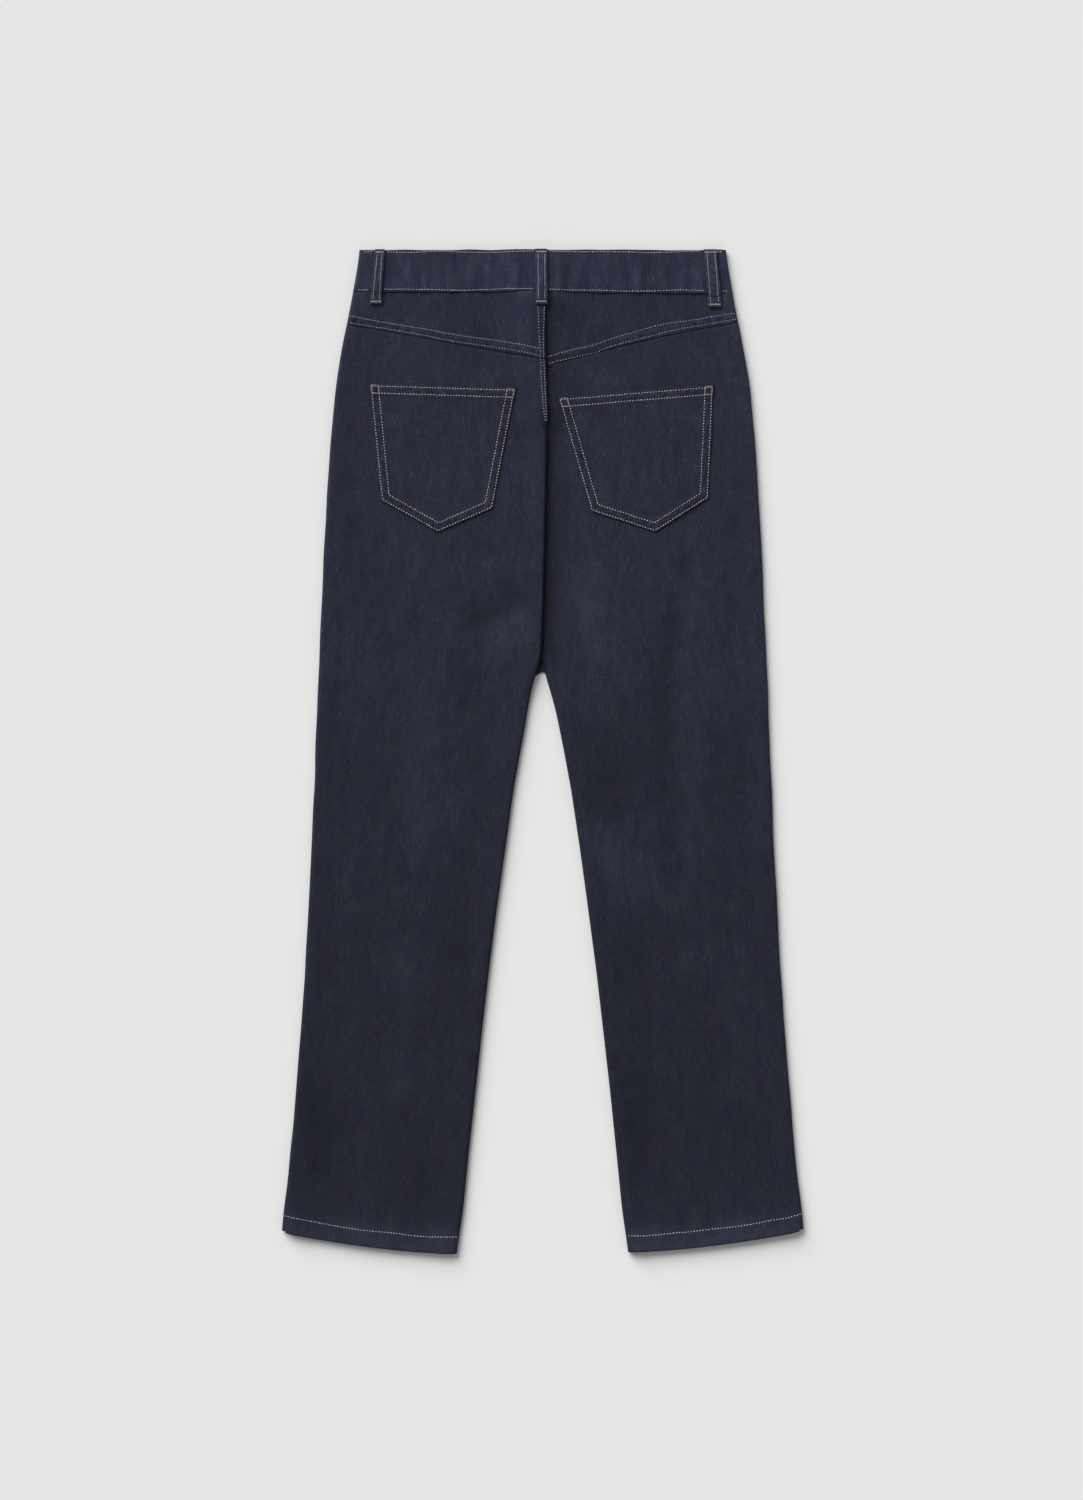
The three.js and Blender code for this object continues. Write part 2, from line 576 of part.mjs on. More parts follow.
function zipTape() {
  const offsets = [-ZIP.half, -ZIP.half / 2, -ZIP.coil - 0.3, -ZIP.coil, ZIP.coil, ZIP.coil + 0.3,
    ZIP.half / 2, ZIP.half]
  const lower = []
  const upper = []
  for (let i = 0; i <= 10; i++) {
    const y = lerp(ZIP.top, ZIP.bottom, i / 10)
    lower.push(offsets.map(dx => [ZIP.x + dx, y, frontLift(ZIP.x + dx, y) + ZIP_Z]))
    upper.push(offsets.map(dx => [ZIP.x + dx, y, frontLift(ZIP.x + dx, y) + ZIP_Z + ZIP.tape
      + (Math.abs(dx) <= ZIP.coil ? ZIP.coilHeight : 0)]))
  }
  return wall('zip_tape', lower, upper, TAPE)
}

// Slider body with its pull tab lying down along the coil
function zipSlider() {
  const stations = [
    { y: 430, half: 3.0, thick: 1.4 },
    { y: 427, half: 4.6, thick: 1.4 },
    { y: 420, half: 4.0, thick: 1.4 },
    { y: 419, half: 2.2, thick: 1.0 },
    { y: 401, half: 2.9, thick: 1.0 },
    { y: 397, half: 2.0, thick: 1.0 },
  ]
  const base = ZIP_Z + ZIP.tape + ZIP.coilHeight + GAP
  const lower = []
  const upper = []
  for (const s of stations) {
    const z = frontLift(ZIP.x, s.y) + base
    const xs = [-s.half, s.half].map(dx => ZIP.x + dx)
    lower.push(xs.map(x => [x, s.y, z]))
    upper.push(xs.map(x => [x, s.y, z + s.thick]))
  }
  const mesh = wall('zip_slider', lower, upper, BRASS)
  mesh.material = new THREE.MeshStandardMaterial({ color: BRASS, roughness: 0.35, metalness: 1 })
  return mesh
}

function button() {
  const r = BUTTON.radius
  const h = BUTTON.height
  const profile = [[0, 0], [r - 3.2, 0], [r - 2.6, 0.35], [r - 1.2, 0.35], [r, 1.1], [r - 0.2, 1.9],
    [r - 1.8, 2.3], [4.2, 2.3], [3.6, h], [0, h]]
  const geometry = new THREE.LatheGeometry(profile.map(p => new THREE.Vector2(...p)), 32)
  geometry.rotateX(Math.PI / 2)
  const mesh = new THREE.Mesh(geometry,
    new THREE.MeshStandardMaterial({ color: BRASS, roughness: 0.35, metalness: 1 }))
  mesh.name = 'button'
  mesh.position.set(BUTTON.x, BUTTON.y, 0)
  return mesh
}

// ---------------------------------------------------------------- assembly
const jeans = new THREE.Group()
const band = waistband()
jeans.add(wall('waistband', band.outer, band.inner, DENIM_BAND))
const upperBack = [band.outer]
for (const [word, side] of [['left', -1], ['right', 1]]) {
  const leg = backLeg(`back_${word}`, side)
  const top = yoke(`yoke_${word}`, side)
  upperBack.push(top.outer)
  jeans.add(wall(leg.name, leg.outer, leg.inner, DENIM))
  jeans.add(wall(top.name, top.outer, top.inner, DENIM))
  jeans.add(frontPanel(`front_${word}`, side, leg))
  jeans.add(facing(`facing_${word}`, side))
  jeans.add(pocket(`pocket_back_${word}`, pockets[word], leg))
  jeans.add(frontLoop(`loop_front_${word}`, side))
}
for (const spec of loops) jeans.add(backLoop(spec, upperBack))
jeans.add(zipTape(), zipSlider(), button())

export default jeans
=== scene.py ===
import math
import bpy
import numpy as np
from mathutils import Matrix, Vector
from mathutils.bvhtree import BVHTree


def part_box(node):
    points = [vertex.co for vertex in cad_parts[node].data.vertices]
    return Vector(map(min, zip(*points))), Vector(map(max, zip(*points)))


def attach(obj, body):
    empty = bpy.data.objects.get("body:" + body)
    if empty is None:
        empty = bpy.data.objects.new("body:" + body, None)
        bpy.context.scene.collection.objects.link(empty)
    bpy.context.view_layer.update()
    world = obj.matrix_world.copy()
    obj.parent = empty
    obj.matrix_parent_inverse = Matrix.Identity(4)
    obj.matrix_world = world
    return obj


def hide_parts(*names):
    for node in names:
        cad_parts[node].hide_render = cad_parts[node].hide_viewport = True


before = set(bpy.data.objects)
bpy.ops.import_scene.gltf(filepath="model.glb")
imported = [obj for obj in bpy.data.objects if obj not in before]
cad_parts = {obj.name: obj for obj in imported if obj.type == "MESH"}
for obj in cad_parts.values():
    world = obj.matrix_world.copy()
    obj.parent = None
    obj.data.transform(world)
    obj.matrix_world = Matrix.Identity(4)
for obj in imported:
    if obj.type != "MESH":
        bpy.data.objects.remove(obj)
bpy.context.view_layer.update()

# Slim fit jeans lying flat, back side up. Shapes are worked out in millimetres in the frame's axes:
# +X across the waist, +Y from the hems to the waistband, +Z up. side is -1 for the wearer's left leg.
mm = 0.001


def boxOf(node):
    low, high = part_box(node)
    return [v / mm for v in low], [v / mm for v in high]


topY = boxOf("waistband")[1][1]
hemY = boxOf("back_left")[0][1]
bandY = boxOf("yoke_left")[1][1] + 0.15
print("jeans run from", round(hemY), "to", round(topY))

cloth = {"wall": 1.2, "band": 2.0, "loop": 1.6, "gap": 0.3, "lift": 0.35, "seam": 1.45}
shape = {
    "edgeR": 3.0, "bandR": 3.2, "turnUnder": 8.0, "mid": 4.6, "edge": 6.0, "bandMid": 6.2,
    "seatEdge": 8.8, "seatFloor": 3.0, "dip": 12.0, "fade": 24.0, "crotchY": 86.0,
}


def smooth(t):
    t = np.clip(t, 0.0, 1.0)
    return t * t * (3 - 2 * t)


def mix(a, b, t):
    return a + (b - a) * t


def bell(away, width):
    return np.exp(-(away / width) ** 2)


# The points of one row of a sheet; a single number stands for a whole row of it
def gridRow(x, y, z):
    return np.stack(np.broadcast_arrays(x, y, z), axis=-1)


# Gives each row of a table what it doesn't say itself, from the row before
def filledDown(rows):
    full = [dict(rows[0])]
    for row in rows[1:]:
        full.append({**full[-1], **row})
    return full


def table(rows, key):
    ys = np.array([r["y"] for r in rows][::-1], float)
    vs = np.array([r[key] for r in rows][::-1], float)
    return lambda y: np.interp(y, ys, vs)


def softened(read, reach):
    offsets = np.linspace(-reach, reach, 7)
    return lambda y: sum(read(np.asarray(y) + o) for o in offsets) / len(offsets)


rng = np.random.default_rng(11)


# A gentle uneven surface from a few dozen waves between two wavelengths
def ripples(shortest, longest, count, stretchX=1.0, stretchY=1.0):
    angles = rng.uniform(0, math.tau, count)
    lengths = np.exp(rng.uniform(math.log(shortest), math.log(longest), count))
    phases = rng.uniform(0, math.tau, count)
    kx = math.tau / lengths * np.cos(angles) * stretchX
    ky = math.tau / lengths * np.sin(angles) * stretchY

    def height(x, y):
        total = 0.0
        for i in range(count):
            total = total + np.sin(kx[i] * x + ky[i] * y + phases[i])
        return total / math.sqrt(count / 2)
    return height


broadRipple = ripples(60, 190, 22, 1.0, 0.5)
clothRipple = ripples(14, 44, 34, 1.2, 0.35)
smallRipple = ripples(5, 13, 34, 1.5, 0.6)
seamNoise = ripples(9, 32, 16)

# Outline of the legs, from the waist down: distances from the centre line
outlineRows = filledDown([
    {"y": 490, "outer": 178.0, "left": 0, "right": 0},
    {"y": 470, "outer": 181.6}, {"y": 431, "outer": 188.6}, {"y": 392, "outer": 196.6},
    {"y": 353, "outer": 202.6}, {"y": 314, "outer": 206.5}, {"y": 275, "outer": 209.4},
    {"y": 236, "outer": 211.4}, {"y": 197, "outer": 213.8}, {"y": 138, "outer": 216.2},
    {"y": 86, "outer": 218.8, "left": 3.7, "right": 0.3},
    {"y": 70, "outer": 219.4, "left": 8.3, "right": 4.0},
    {"y": 55, "outer": 219.9, "left": 12.0, "right": 8.6},
    {"y": 41, "outer": 220.4, "left": 14.6, "right": 12.4},
    {"y": 21, "outer": 221.1, "left": 17.8, "right": 16.6},
    {"y": 2, "outer": 221.9, "left": 21.4, "right": 20.4},
    {"y": -37, "outer": 223.5, "left": 28.4, "right": 27.6},
    {"y": -96, "outer": 226.0, "left": 36.6, "right": 36.4},
    {"y": -154, "outer": 228.9, "left": 44.9, "right": 44.3},
    {"y": -213, "outer": 232.3, "left": 52.4, "right": 52.1},
    {"y": -272, "outer": 236.2, "left": 59.2, "right": 58.9},
    {"y": -330, "outer": 241.1, "left": 65.3, "right": 65.5},
    {"y": -389, "outer": 246.0, "left": 71.9, "right": 71.6},
    {"y": -447, "outer": 252.8, "left": 77.7, "right": 77.4},
    {"y": -490, "outer": 256.5, "left": 84.0, "right": 83.6},
])
# line: seat seam above, rolled edge below; roll: how far it is turned under; tail: its turned-under
# width; floor: its underside; under: how far the right panel reaches under it
seatRows = filledDown([
    {"y": 490, "line": -2.0, "edge": 3.6, "roll": 0, "tail": 0.6, "floor": 3.0, "under": -0.3,
     "rightZ": 5.0, "rightTurn": 0},
    {"y": 410, "line": -1.0, "edge": 2.2},
    {"y": 365, "line": 0.6, "edge": 3.4, "rightZ": 4.8},
    {"y": 336, "line": 2.6, "edge": 4.6, "rightZ": 4.6},
    {"y": 322, "line": 4.0, "roll": 0.08, "rightZ": 3.8},
    {"y": 311, "line": 4.1, "edge": 4.1, "roll": 0.5, "rightZ": 2.6},
    {"y": 300, "line": 4.0, "edge": 4.0, "roll": 1, "under": 2.3},
    {"y": 270, "line": 3.6, "edge": 3.6, "tail": 7.0, "under": 8.7},
    {"y": 215, "line": 2.4, "edge": 2.4, "tail": 11.0, "under": 12.7},
    {"y": 145, "line": 0.6, "edge": 0.6, "tail": 9.0, "under": 10.7},
    {"y": 105, "line": -0.9, "edge": -0.9, "tail": 4.0, "under": 5.7},
    {"y": 95, "line": -1.6, "edge": -1.6, "tail": 1.5, "under": 3.2},
    {"y": 86, "line": -3.7, "edge": -3.7, "tail": 0.6, "under": -4.15, "rightZ": 2.7},
    {"y": 76, "line": 0, "edge": 0, "floor": 2.5, "under": 0, "rightZ": 3.6, "rightTurn": 0.3},
    {"y": 65, "floor": 1.5, "rightZ": 4.6, "rightTurn": 0.55},
    {"y": 55, "floor": 0.6, "rightZ": 5.4, "rightTurn": 0.8},
    {"y": 45, "tail": 0.8, "floor": 0, "rightZ": 6.0, "rightTurn": 1},
    {"y": 30, "tail": 4.0}, {"y": 10, "tail": 8.0},
])
outerAt = softened(table(outlineRows, "outer"), 20)
innerAt = {-1: softened(table(outlineRows, "left"), 6), 1: softened(table(outlineRows, "right"), 6)}
seat = {key: table(seatRows, key) for key in seatRows[0] if key != "y"}


def yokeSeam(side, a):
    a = np.abs(a)
    return 388.5 + 0.178 * a if side < 0 else 380.3 + 0.3 * a - 0.00036 * a * a


# Both hems rise towards the side seams, and the right one lies a little higher. band is the height
# of the hem's stitch row, and blend the height over which rows turn level
hemSize = {"outerA": 254.5, "span": 170, "rise": 20.5, "corner": 2.0, "right": 1.7, "band": 16.0, "blend": 70}


def hemLine(side, a):
    t = np.clip((hemSize["outerA"] - a) / hemSize["span"], 0, 1)
    right = hemSize["right"] if side > 0 else 0
    return hemY + hemSize["rise"] * (1 - t) ** 1.6 + hemSize["corner"] * np.exp(-t / 0.03) + right


def hemShift(side, a, base):
    return (hemLine(side, a) - hemY) * (1 - smooth((base - hemY - hemSize["band"]) / hemSize["blend"]))


def dipAt(a, y):
    across = np.maximum(0, 1 - (a / (outerAt(y) - shape["edgeR"])) ** 2)
    return shape["dip"] * across * smooth((y - 330) / 118)


# Flat rises in the layers: over the button and front loops, and over the inner layers
loopFrontX = 77
frontRises = [
    {"x": 0, "y": 455, "halfX": 12, "halfY": 12, "fade": 60, "height": 3.0},
    {"x": -loopFrontX, "y": 453, "halfX": 8, "halfY": 28, "fade": 40, "height": 1.9},
    {"x": loopFrontX, "y": 453, "halfX": 8, "halfY": 28, "fade": 40, "height": 1.9},
]
innerRises = [
    {"x": 0, "y": 468, "halfX": 26, "halfY": 22, "fade": 45, "height": 1.4},
    {"x": 0, "y": 416, "halfX": 8, "halfY": 20, "fade": 45, "height": 2.5},
    {"x": -2, "y": 385, "halfX": 14, "halfY": 50, "fade": 28, "height": 1.4},
]
# Soft ridges (above zero) and troughs, each along a straight stretch with its own width. As relief they also
# tone the colour, with painted shade in the troughs
creases = [
    {"from": (-8, 160), "to": (-64, 127), "width": 11, "height": -1.1},
    {"from": (-64, 127), "to": (-78, 52), "width": 13, "height": -0.8},
    {"from": (-22, 118), "to": (-48, 90), "width": 14, "height": 1.1},
    {"from": (-6, 100), "to": (-30, 70), "width": 7, "height": -0.5},
    {"from": (-30, 190), "to": (-92, 168), "width": 9, "height": 0.45},
    {"from": (-110, 30), "to": (-127, -125), "width": 15, "height": 0.8},
    {"from": (-127, -190), "to": (-139, -335), "width": 14, "height": 0.55},
    {"from": (-139, -335), "to": (-176, -388), "width": 16, "height": 0.4},
    {"from": (-76, -110), "to": (-82, -200), "width": 18, "height": -0.5},
    {"from": (-212, -345), "to": (-220, -430), "width": 18, "height": -0.4},
    {"from": (-150, -40), "to": (-178, -20), "width": 8, "height": -0.35},
    {"from": (-60, -20), "to": (-110, -44), "width": 9, "height": -0.4},
    {"from": (-112, -372), "to": (-116, -446), "width": 14, "height": -0.35},
    {"from": (-150, -250), "to": (-190, -262), "width": 9, "height": -0.3},
    {"from": (42, 150), "to": (72, 72), "width": 20, "height": 0.9},
    {"from": (12, 92), "to": (44, 62), "width": 8, "height": -0.5},
    {"from": (48, 8), "to": (72, -60), "width": 17, "height": -1.0},
    {"from": (62, -84), "to": (92, -150), "width": 20, "height": 0.6},
    {"from": (86, -175), "to": (108, -420), "width": 20, "height": -0.5},
    {"from": (137, 180), "to": (117, 50), "width": 11, "height": -1.0},
    {"from": (117, 50), "to": (124, -114), "width": 11, "height": -1.0},
    {"from": (152, 160), "to": (150, -100), "width": 16, "height": 0.6},
    {"from": (168, -40), "to": (206, -22), "width": 8, "height": -0.35},
    {"from": (120, -232), "to": (172, -246), "width": 9, "height": -0.35},
    {"from": (184, -330), "to": (214, -352), "width": 10, "height": 0.35},
]


def riseAt(rises, x, y):
    most = 0.0 * (x + y)
    for r in rises:
        outX = np.maximum(0, np.abs(x - r["x"]) - r["halfX"])
        outY = np.maximum(0, np.abs(y - r["y"]) - r["halfY"])
        most = np.maximum(most, r["height"] * (1 - smooth(np.hypot(outX, outY) / r["fade"])))
    return most


def frontLift(x, y):
    return riseAt(frontRises, x, y)


def backLift(x, y):
    return riseAt(frontRises, x, y) + riseAt(innerRises, x, y)


def alongLine(line, x, y):
    (x1, y1), (x2, y2) = line["from"], line["to"]
    dx, dy = x2 - x1, y2 - y1
    t = np.clip(((x - x1) * dx + (y - y1) * dy) / (dx * dx + dy * dy), 0, 1)
    away = np.hypot(x - x1 - t * dx, y - y1 - t * dy)
    uneven = 1 + 0.25 * seamNoise(x * 0.4, y * 0.4)
    return line["height"] * uneven * bell(away, line["width"])


# A soft oval spot with its own width, length and strength
def spotAt(spot, x, y):
    across, along = (x - spot["x"]) / spot["wide"], (y - spot["y"]) / spot["long"]
    return spot["gain"] * np.exp(-across ** 2 - along ** 2)


# Small gathers beside a seam: period along it, height, and reach away from it
gatherSizes = {
    "hem": {"period": 9.0, "height": 0.34, "reach": 9},
    "legTop": {"period": 7.5, "height": 0.10, "reach": 7},
    "underBand": {"period": 9.0, "height": 0.22, "reach": 9},
    "yoke": {"period": 5.6, "height": 0.17, "reach": 5},
    "bandLow": {"period": 6.2, "height": 0.12, "reach": 5},
    "bandTop": {"period": 7.4, "height": 0.07, "reach": 4},
    "bandWide": {"period": 15.0, "height": 0.34, "reach": 15},
    "bandMiddle": {"period": 23.0, "height": 0.38, "reach": 22},
    "pocketTop": {"period": 7.0, "height": 0.16, "reach": 6},
    "pocketSide": {"period": 6.5, "height": 0.12, "reach": 5},
}


def gathers(kind, along, away):
    size = gatherSizes[kind]
    wander = 0.9 * seamNoise(along * 0.7, 3.0) + 0.12 * along / size["period"]
    height = size["height"] * (0.6 + 0.4 * seamNoise(along * 0.5, 50.0))
    return height * np.sin(math.tau * along / size["period"] + wander) * np.exp(-np.abs(away) / size["reach"])


reliefSize = {"broad": 0.19, "cloth": 0.075, "small": 0.035, "hemRidge": 0.25, "hemRise": 2.2, "hemReach": 18}


def clothRelief(side, x, y, a):
    relief = reliefSize["broad"] * broadRipple(x, y) + reliefSize["cloth"] * clothRipple(x, y)
    relief = relief + reliefSize["small"] * smallRipple(x, y) + sum(alongLine(line, x, y) for line in creases)
    hem = y - hemLine(side, a)
    relief = relief + gathers("hem", x + 0.5 * hem, hem - 10) + reliefSize["hemRidge"] * bell(hem - 19, 4)
    relief = relief + reliefSize["hemRise"] * np.exp(-np.maximum(hem, 0) / reliefSize["hemReach"])
    relief = relief + gathers("legTop", x, y - yokeSeam(side, a))
    return relief + gathers("underBand", x, y - bandY + 2)


steps = {"tail": 3, "arc": 9, "top": 66}


# The end of a row: turned down round a radius by an angle, with a straight tail
def turned(top, floor, angle, tail, radius):
    drop = max(0.01, top - floor - tail * math.sin(angle))
    bend = max(angle, 0.001)
    arc = min(math.pi * radius, bend * drop / max(1e-9, 1 - math.cos(bend)))
    r = arc / bend
    turn = np.linspace(0, bend, steps["arc"] + 1)
    d = r * np.sin(turn)
    z = top - r * (1 - np.cos(turn))
    t = np.arange(1, steps["tail"] + 1) / steps["tail"]
    d = np.append(d, d[-1] + t * tail * math.cos(bend))
    z = np.append(z, z[-1] - t * tail * math.sin(bend))
    return d, z, (r if bend > math.pi / 2 else d[-1])


# The end of a row at the seat seam or the inside-leg fold: its place, height and turn
def seatEnd(side, y):
    at = {key: float(read(y)) for key, read in seat.items()}
    above = y > shape["crotchY"]
    if side < 0:
        line = -at["edge"] if above else float(innerAt[-1](y))
        share = 1 if above else at["floor"] / shape["seatFloor"]
        top = mix(shape["edge"], shape["seatEdge"], share)
        return line, top, *turned(top, at["floor"], math.pi * at["roll"], at["tail"], (top - at["floor"]) / 2)
    line = float(innerAt[1](y))
    if above:
        line = at["line"] - at["under"] - (cloth["gap"] / 2 if at["under"] < 0 else 0)
    angle = math.pi * at["rightTurn"]
    tail = at["tail"] if at["rightTurn"] == 1 else seatRows[0]["tail"]
    floor = cloth["wall"] * max(0, math.cos(angle))
    return line, at["rightZ"], *turned(at["rightZ"], floor, angle, tail, shape["edgeR"])


# Distances from the centre line, y values, heights and relief of one row; level gives y across
def backRow(side, level):
    yOut = float(level(outerAt(level(200.0)), 0.0))
    outer = float(outerAt(yOut)) + 0.16 * float(seamNoise(yOut * 0.3, side * 20.0))
    yIn = float(level(0.0, 1.0))
    if yIn < shape["crotchY"]:
        yIn = float(level(seatEnd(side, yIn)[0], 1.0))
    line, topIn, dIn, zIn, reachIn = seatEnd(side, yIn)
    dOut, zOut, reachOut = turned(shape["edge"], 0, math.pi, shape["turnUnder"], shape["edgeR"])
    outStart, inStart = outer - reachOut, line + reachIn
    aOut = (outStart + dOut)[::-1]
    zSide = zOut[::-1]
    ySide = yOut - np.where(zSide < shape["edgeR"], dipAt(aOut, yOut), 0)
    t = np.linspace(0, 1, steps["top"] + 1)[1:-1]
    t = mix(t, smooth(t), 0.45)
    a = mix(outStart, inStart, t)
    y = level(a, t)
    x = side * a
    nearOut, nearIn = (outStart - a) / shape["fade"], (a - inStart) / shape["fade"]
    inset = smooth(nearOut * 2.2) * smooth(nearIn * 2.2)
    z = shape["mid"] + (shape["edge"] - shape["mid"]) * (1 - smooth(nearOut))
    z = z + (topIn - shape["mid"]) * (1 - smooth(nearIn))
    relief = clothRelief(side, x, y, a)
    z = z + relief * mix(0.25, 1.0, inset) + backLift(x, y)
    aIn = inStart - dIn
    zEnd = zIn + backLift(side * aIn, yIn)
    return {
        "a": np.concatenate([aOut, a, aIn]), "y": np.concatenate([ySide, y, np.full(len(aIn), yIn)]),
        "z": np.concatenate([zSide, z, zEnd]),
        "relief": np.concatenate([np.zeros(len(aOut)), relief, np.zeros(len(aIn))]),
    }


# Moves a row outward across its own line, where it lies over another piece
def raised(row, amount):
    da, dz = np.gradient(row["a"]), np.gradient(row["z"])
    length = np.hypot(da, dz)
    return row["a"] + dz / length * amount, row["z"] - da / length * amount


# Colour gain over the cloth: lighter over the seat and darker down the legs, painted shade in the crease
# beside the seat fold, painted highlights along the side edges and above the hems, and painted light and
# shade of the folds in patches
toneRows = {
    "y": [-480, -400, -260, -120, 55, 200, 430], "colourGain": [0.645, 0.645, 0.685, 0.78, 0.90, 0.985, 1.03],
}
# Painted shade beside the seat fold: where its line runs, how far it reaches and how deep it goes
foldShadeRows = {
    "lineY": [86, 145, 215, 270, 336, 410, 440], "line": [-1.7, 0.6, 2.4, 3.6, 4.6, 2.2, 3.6],
    "reachY": [86, 180, 330, 410], "reach": [18, 33, 23, 15],
    "depthY": [78, 100, 160, 300, 380, 425, 445], "depth": [0, 0.50, 0.59, 0.56, 0.52, 0.25, 0.0],
}
# Painted highlight along the folded side edges (rim, side), a lighter hem band, and painted light on the rise
# above the hems
paintedLightSize = {"rim": 0.30, "rimReach": 3.2, "side": 0.05, "sideReach": 14.0, "hem": 0.37,
            "aboveHem": 0.34, "aboveReach": 7.0, "low": 0.16, "lowReach": 30.0}
# Painted light and shade of the cloth's folds and bulges, as soft spots
paintedShadingPatches = [
    {"x": 86, "y": -100, "wide": 32, "long": 44, "gain": 0.20},
    {"x": 58, "y": -92, "wide": 14, "long": 24, "gain": 0.12},
    {"x": 60, "y": 112, "wide": 32, "long": 46, "gain": 0.10},
    {"x": -34, "y": 108, "wide": 22, "long": 24, "gain": 0.10},
    {"x": -62, "y": 150, "wide": 16, "long": 20, "gain": -0.08},
    {"x": 70, "y": -12, "wide": 28, "long": 32, "gain": -0.22},
    {"x": 55, "y": -34, "wide": 16, "long": 20, "gain": -0.18},
    {"x": 43, "y": -52, "wide": 11, "long": 12, "gain": -0.24},
    {"x": 96, "y": -300, "wide": 16, "long": 110, "gain": -0.10},
    {"x": 122, "y": 20, "wide": 10, "long": 130, "gain": -0.07},
    {"x": -76, "y": -165, "wide": 18, "long": 70, "gain": -0.07},
    {"x": -126, "y": -100, "wide": 8, "long": 90, "gain": 0.06},
    {"x": -215, "y": -400, "wide": 20, "long": 60, "gain": -0.08},
    {"x": -112, "y": 480, "wide": 26, "long": 12, "gain": -0.12},
    {"x": 112, "y": 478, "wide": 28, "long": 12, "gain": -0.12},
    {"x": 14, "y": 425, "wide": 11, "long": 26, "gain": -0.20},
]


def shadeAndToneAt(x, y):
    colourGain = np.interp(y, toneRows["y"], toneRows["colourGain"])
    # Painted light and shade of the folds
    for patch in paintedShadingPatches:
        colourGain = colourGain * (1 + spotAt(patch, x, y))
    # Painted shade in the crease beside the seat fold
    fold = x - np.interp(y, foldShadeRows["lineY"], foldShadeRows["line"])
    reach = np.interp(y, foldShadeRows["reachY"], foldShadeRows["reach"])
    depth = np.interp(y, foldShadeRows["depthY"], foldShadeRows["depth"])
    colourGain = colourGain * (1 - depth * (1 - np.clip(fold / reach, 0, 1)) ** 1.1 * (fold > -1.5))
    # Painted highlight along the folded side edges
    away = outerAt(y) - np.abs(x)
    rim = 1 + paintedLightSize["rim"] * bell(away, paintedLightSize["rimReach"])
    rim = rim + paintedLightSize["side"] * bell(away, paintedLightSize["sideReach"])
    # The hem band drawn lighter, with painted light on the rise just above it
    hem = y - np.where(x < 0, hemLine(-1, np.abs(x)), hemLine(1, np.abs(x))) - hemSize["band"]
    above = np.maximum(hem, 0)
    paler = paintedLightSize["aboveHem"] * np.exp(-above / paintedLightSize["aboveReach"])
    paler = paler + paintedLightSize["low"] * np.exp(-above / paintedLightSize["lowReach"])
    sewn = 1 + np.where(hem < 0, paintedLightSize["hem"], paler)
    # The left leg a little darker towards its hem, the right a little lighter
    leg = 1 + np.interp(y, [-490, -300, -100], [0.05, 0.03, 0.0]) * np.where(x < 0, -1.2, 1.0)
    return colourGain * rim * sewn * leg


pieces = {}


def linkMesh(name, verts, faces):
    mesh = bpy.data.meshes.new(name)
    mesh.from_pydata((verts * mm).tolist(), [], faces)
    mesh.update()
    piece = bpy.data.objects.new(name, mesh)
    bpy.context.collection.objects.link(piece)
    return piece


def smoothShade(piece):
    for p in piece.data.polygons:
        p.use_smooth = True


def applyBevel(piece, width, segments, angle=None):
    soft = piece.modifiers.new("soft", "BEVEL")
    soft.width, soft.segments = width, segments
    if angle:
        soft.limit_method, soft.angle_limit = "ANGLE", math.radians(angle)
    bpy.context.view_layer.objects.active = piece
    bpy.ops.object.modifier_apply(modifier="soft")


# Gives a finished piece its material, its body and the solids that it stands for
def finishPiece(piece, name, finish, nodes=()):
    piece.name = piece.data.name = name
    piece.data.materials.clear()
    piece.data.materials.append(materials[finish])
    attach(piece, "root")
    if nodes:
        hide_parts(*nodes)
    return piece


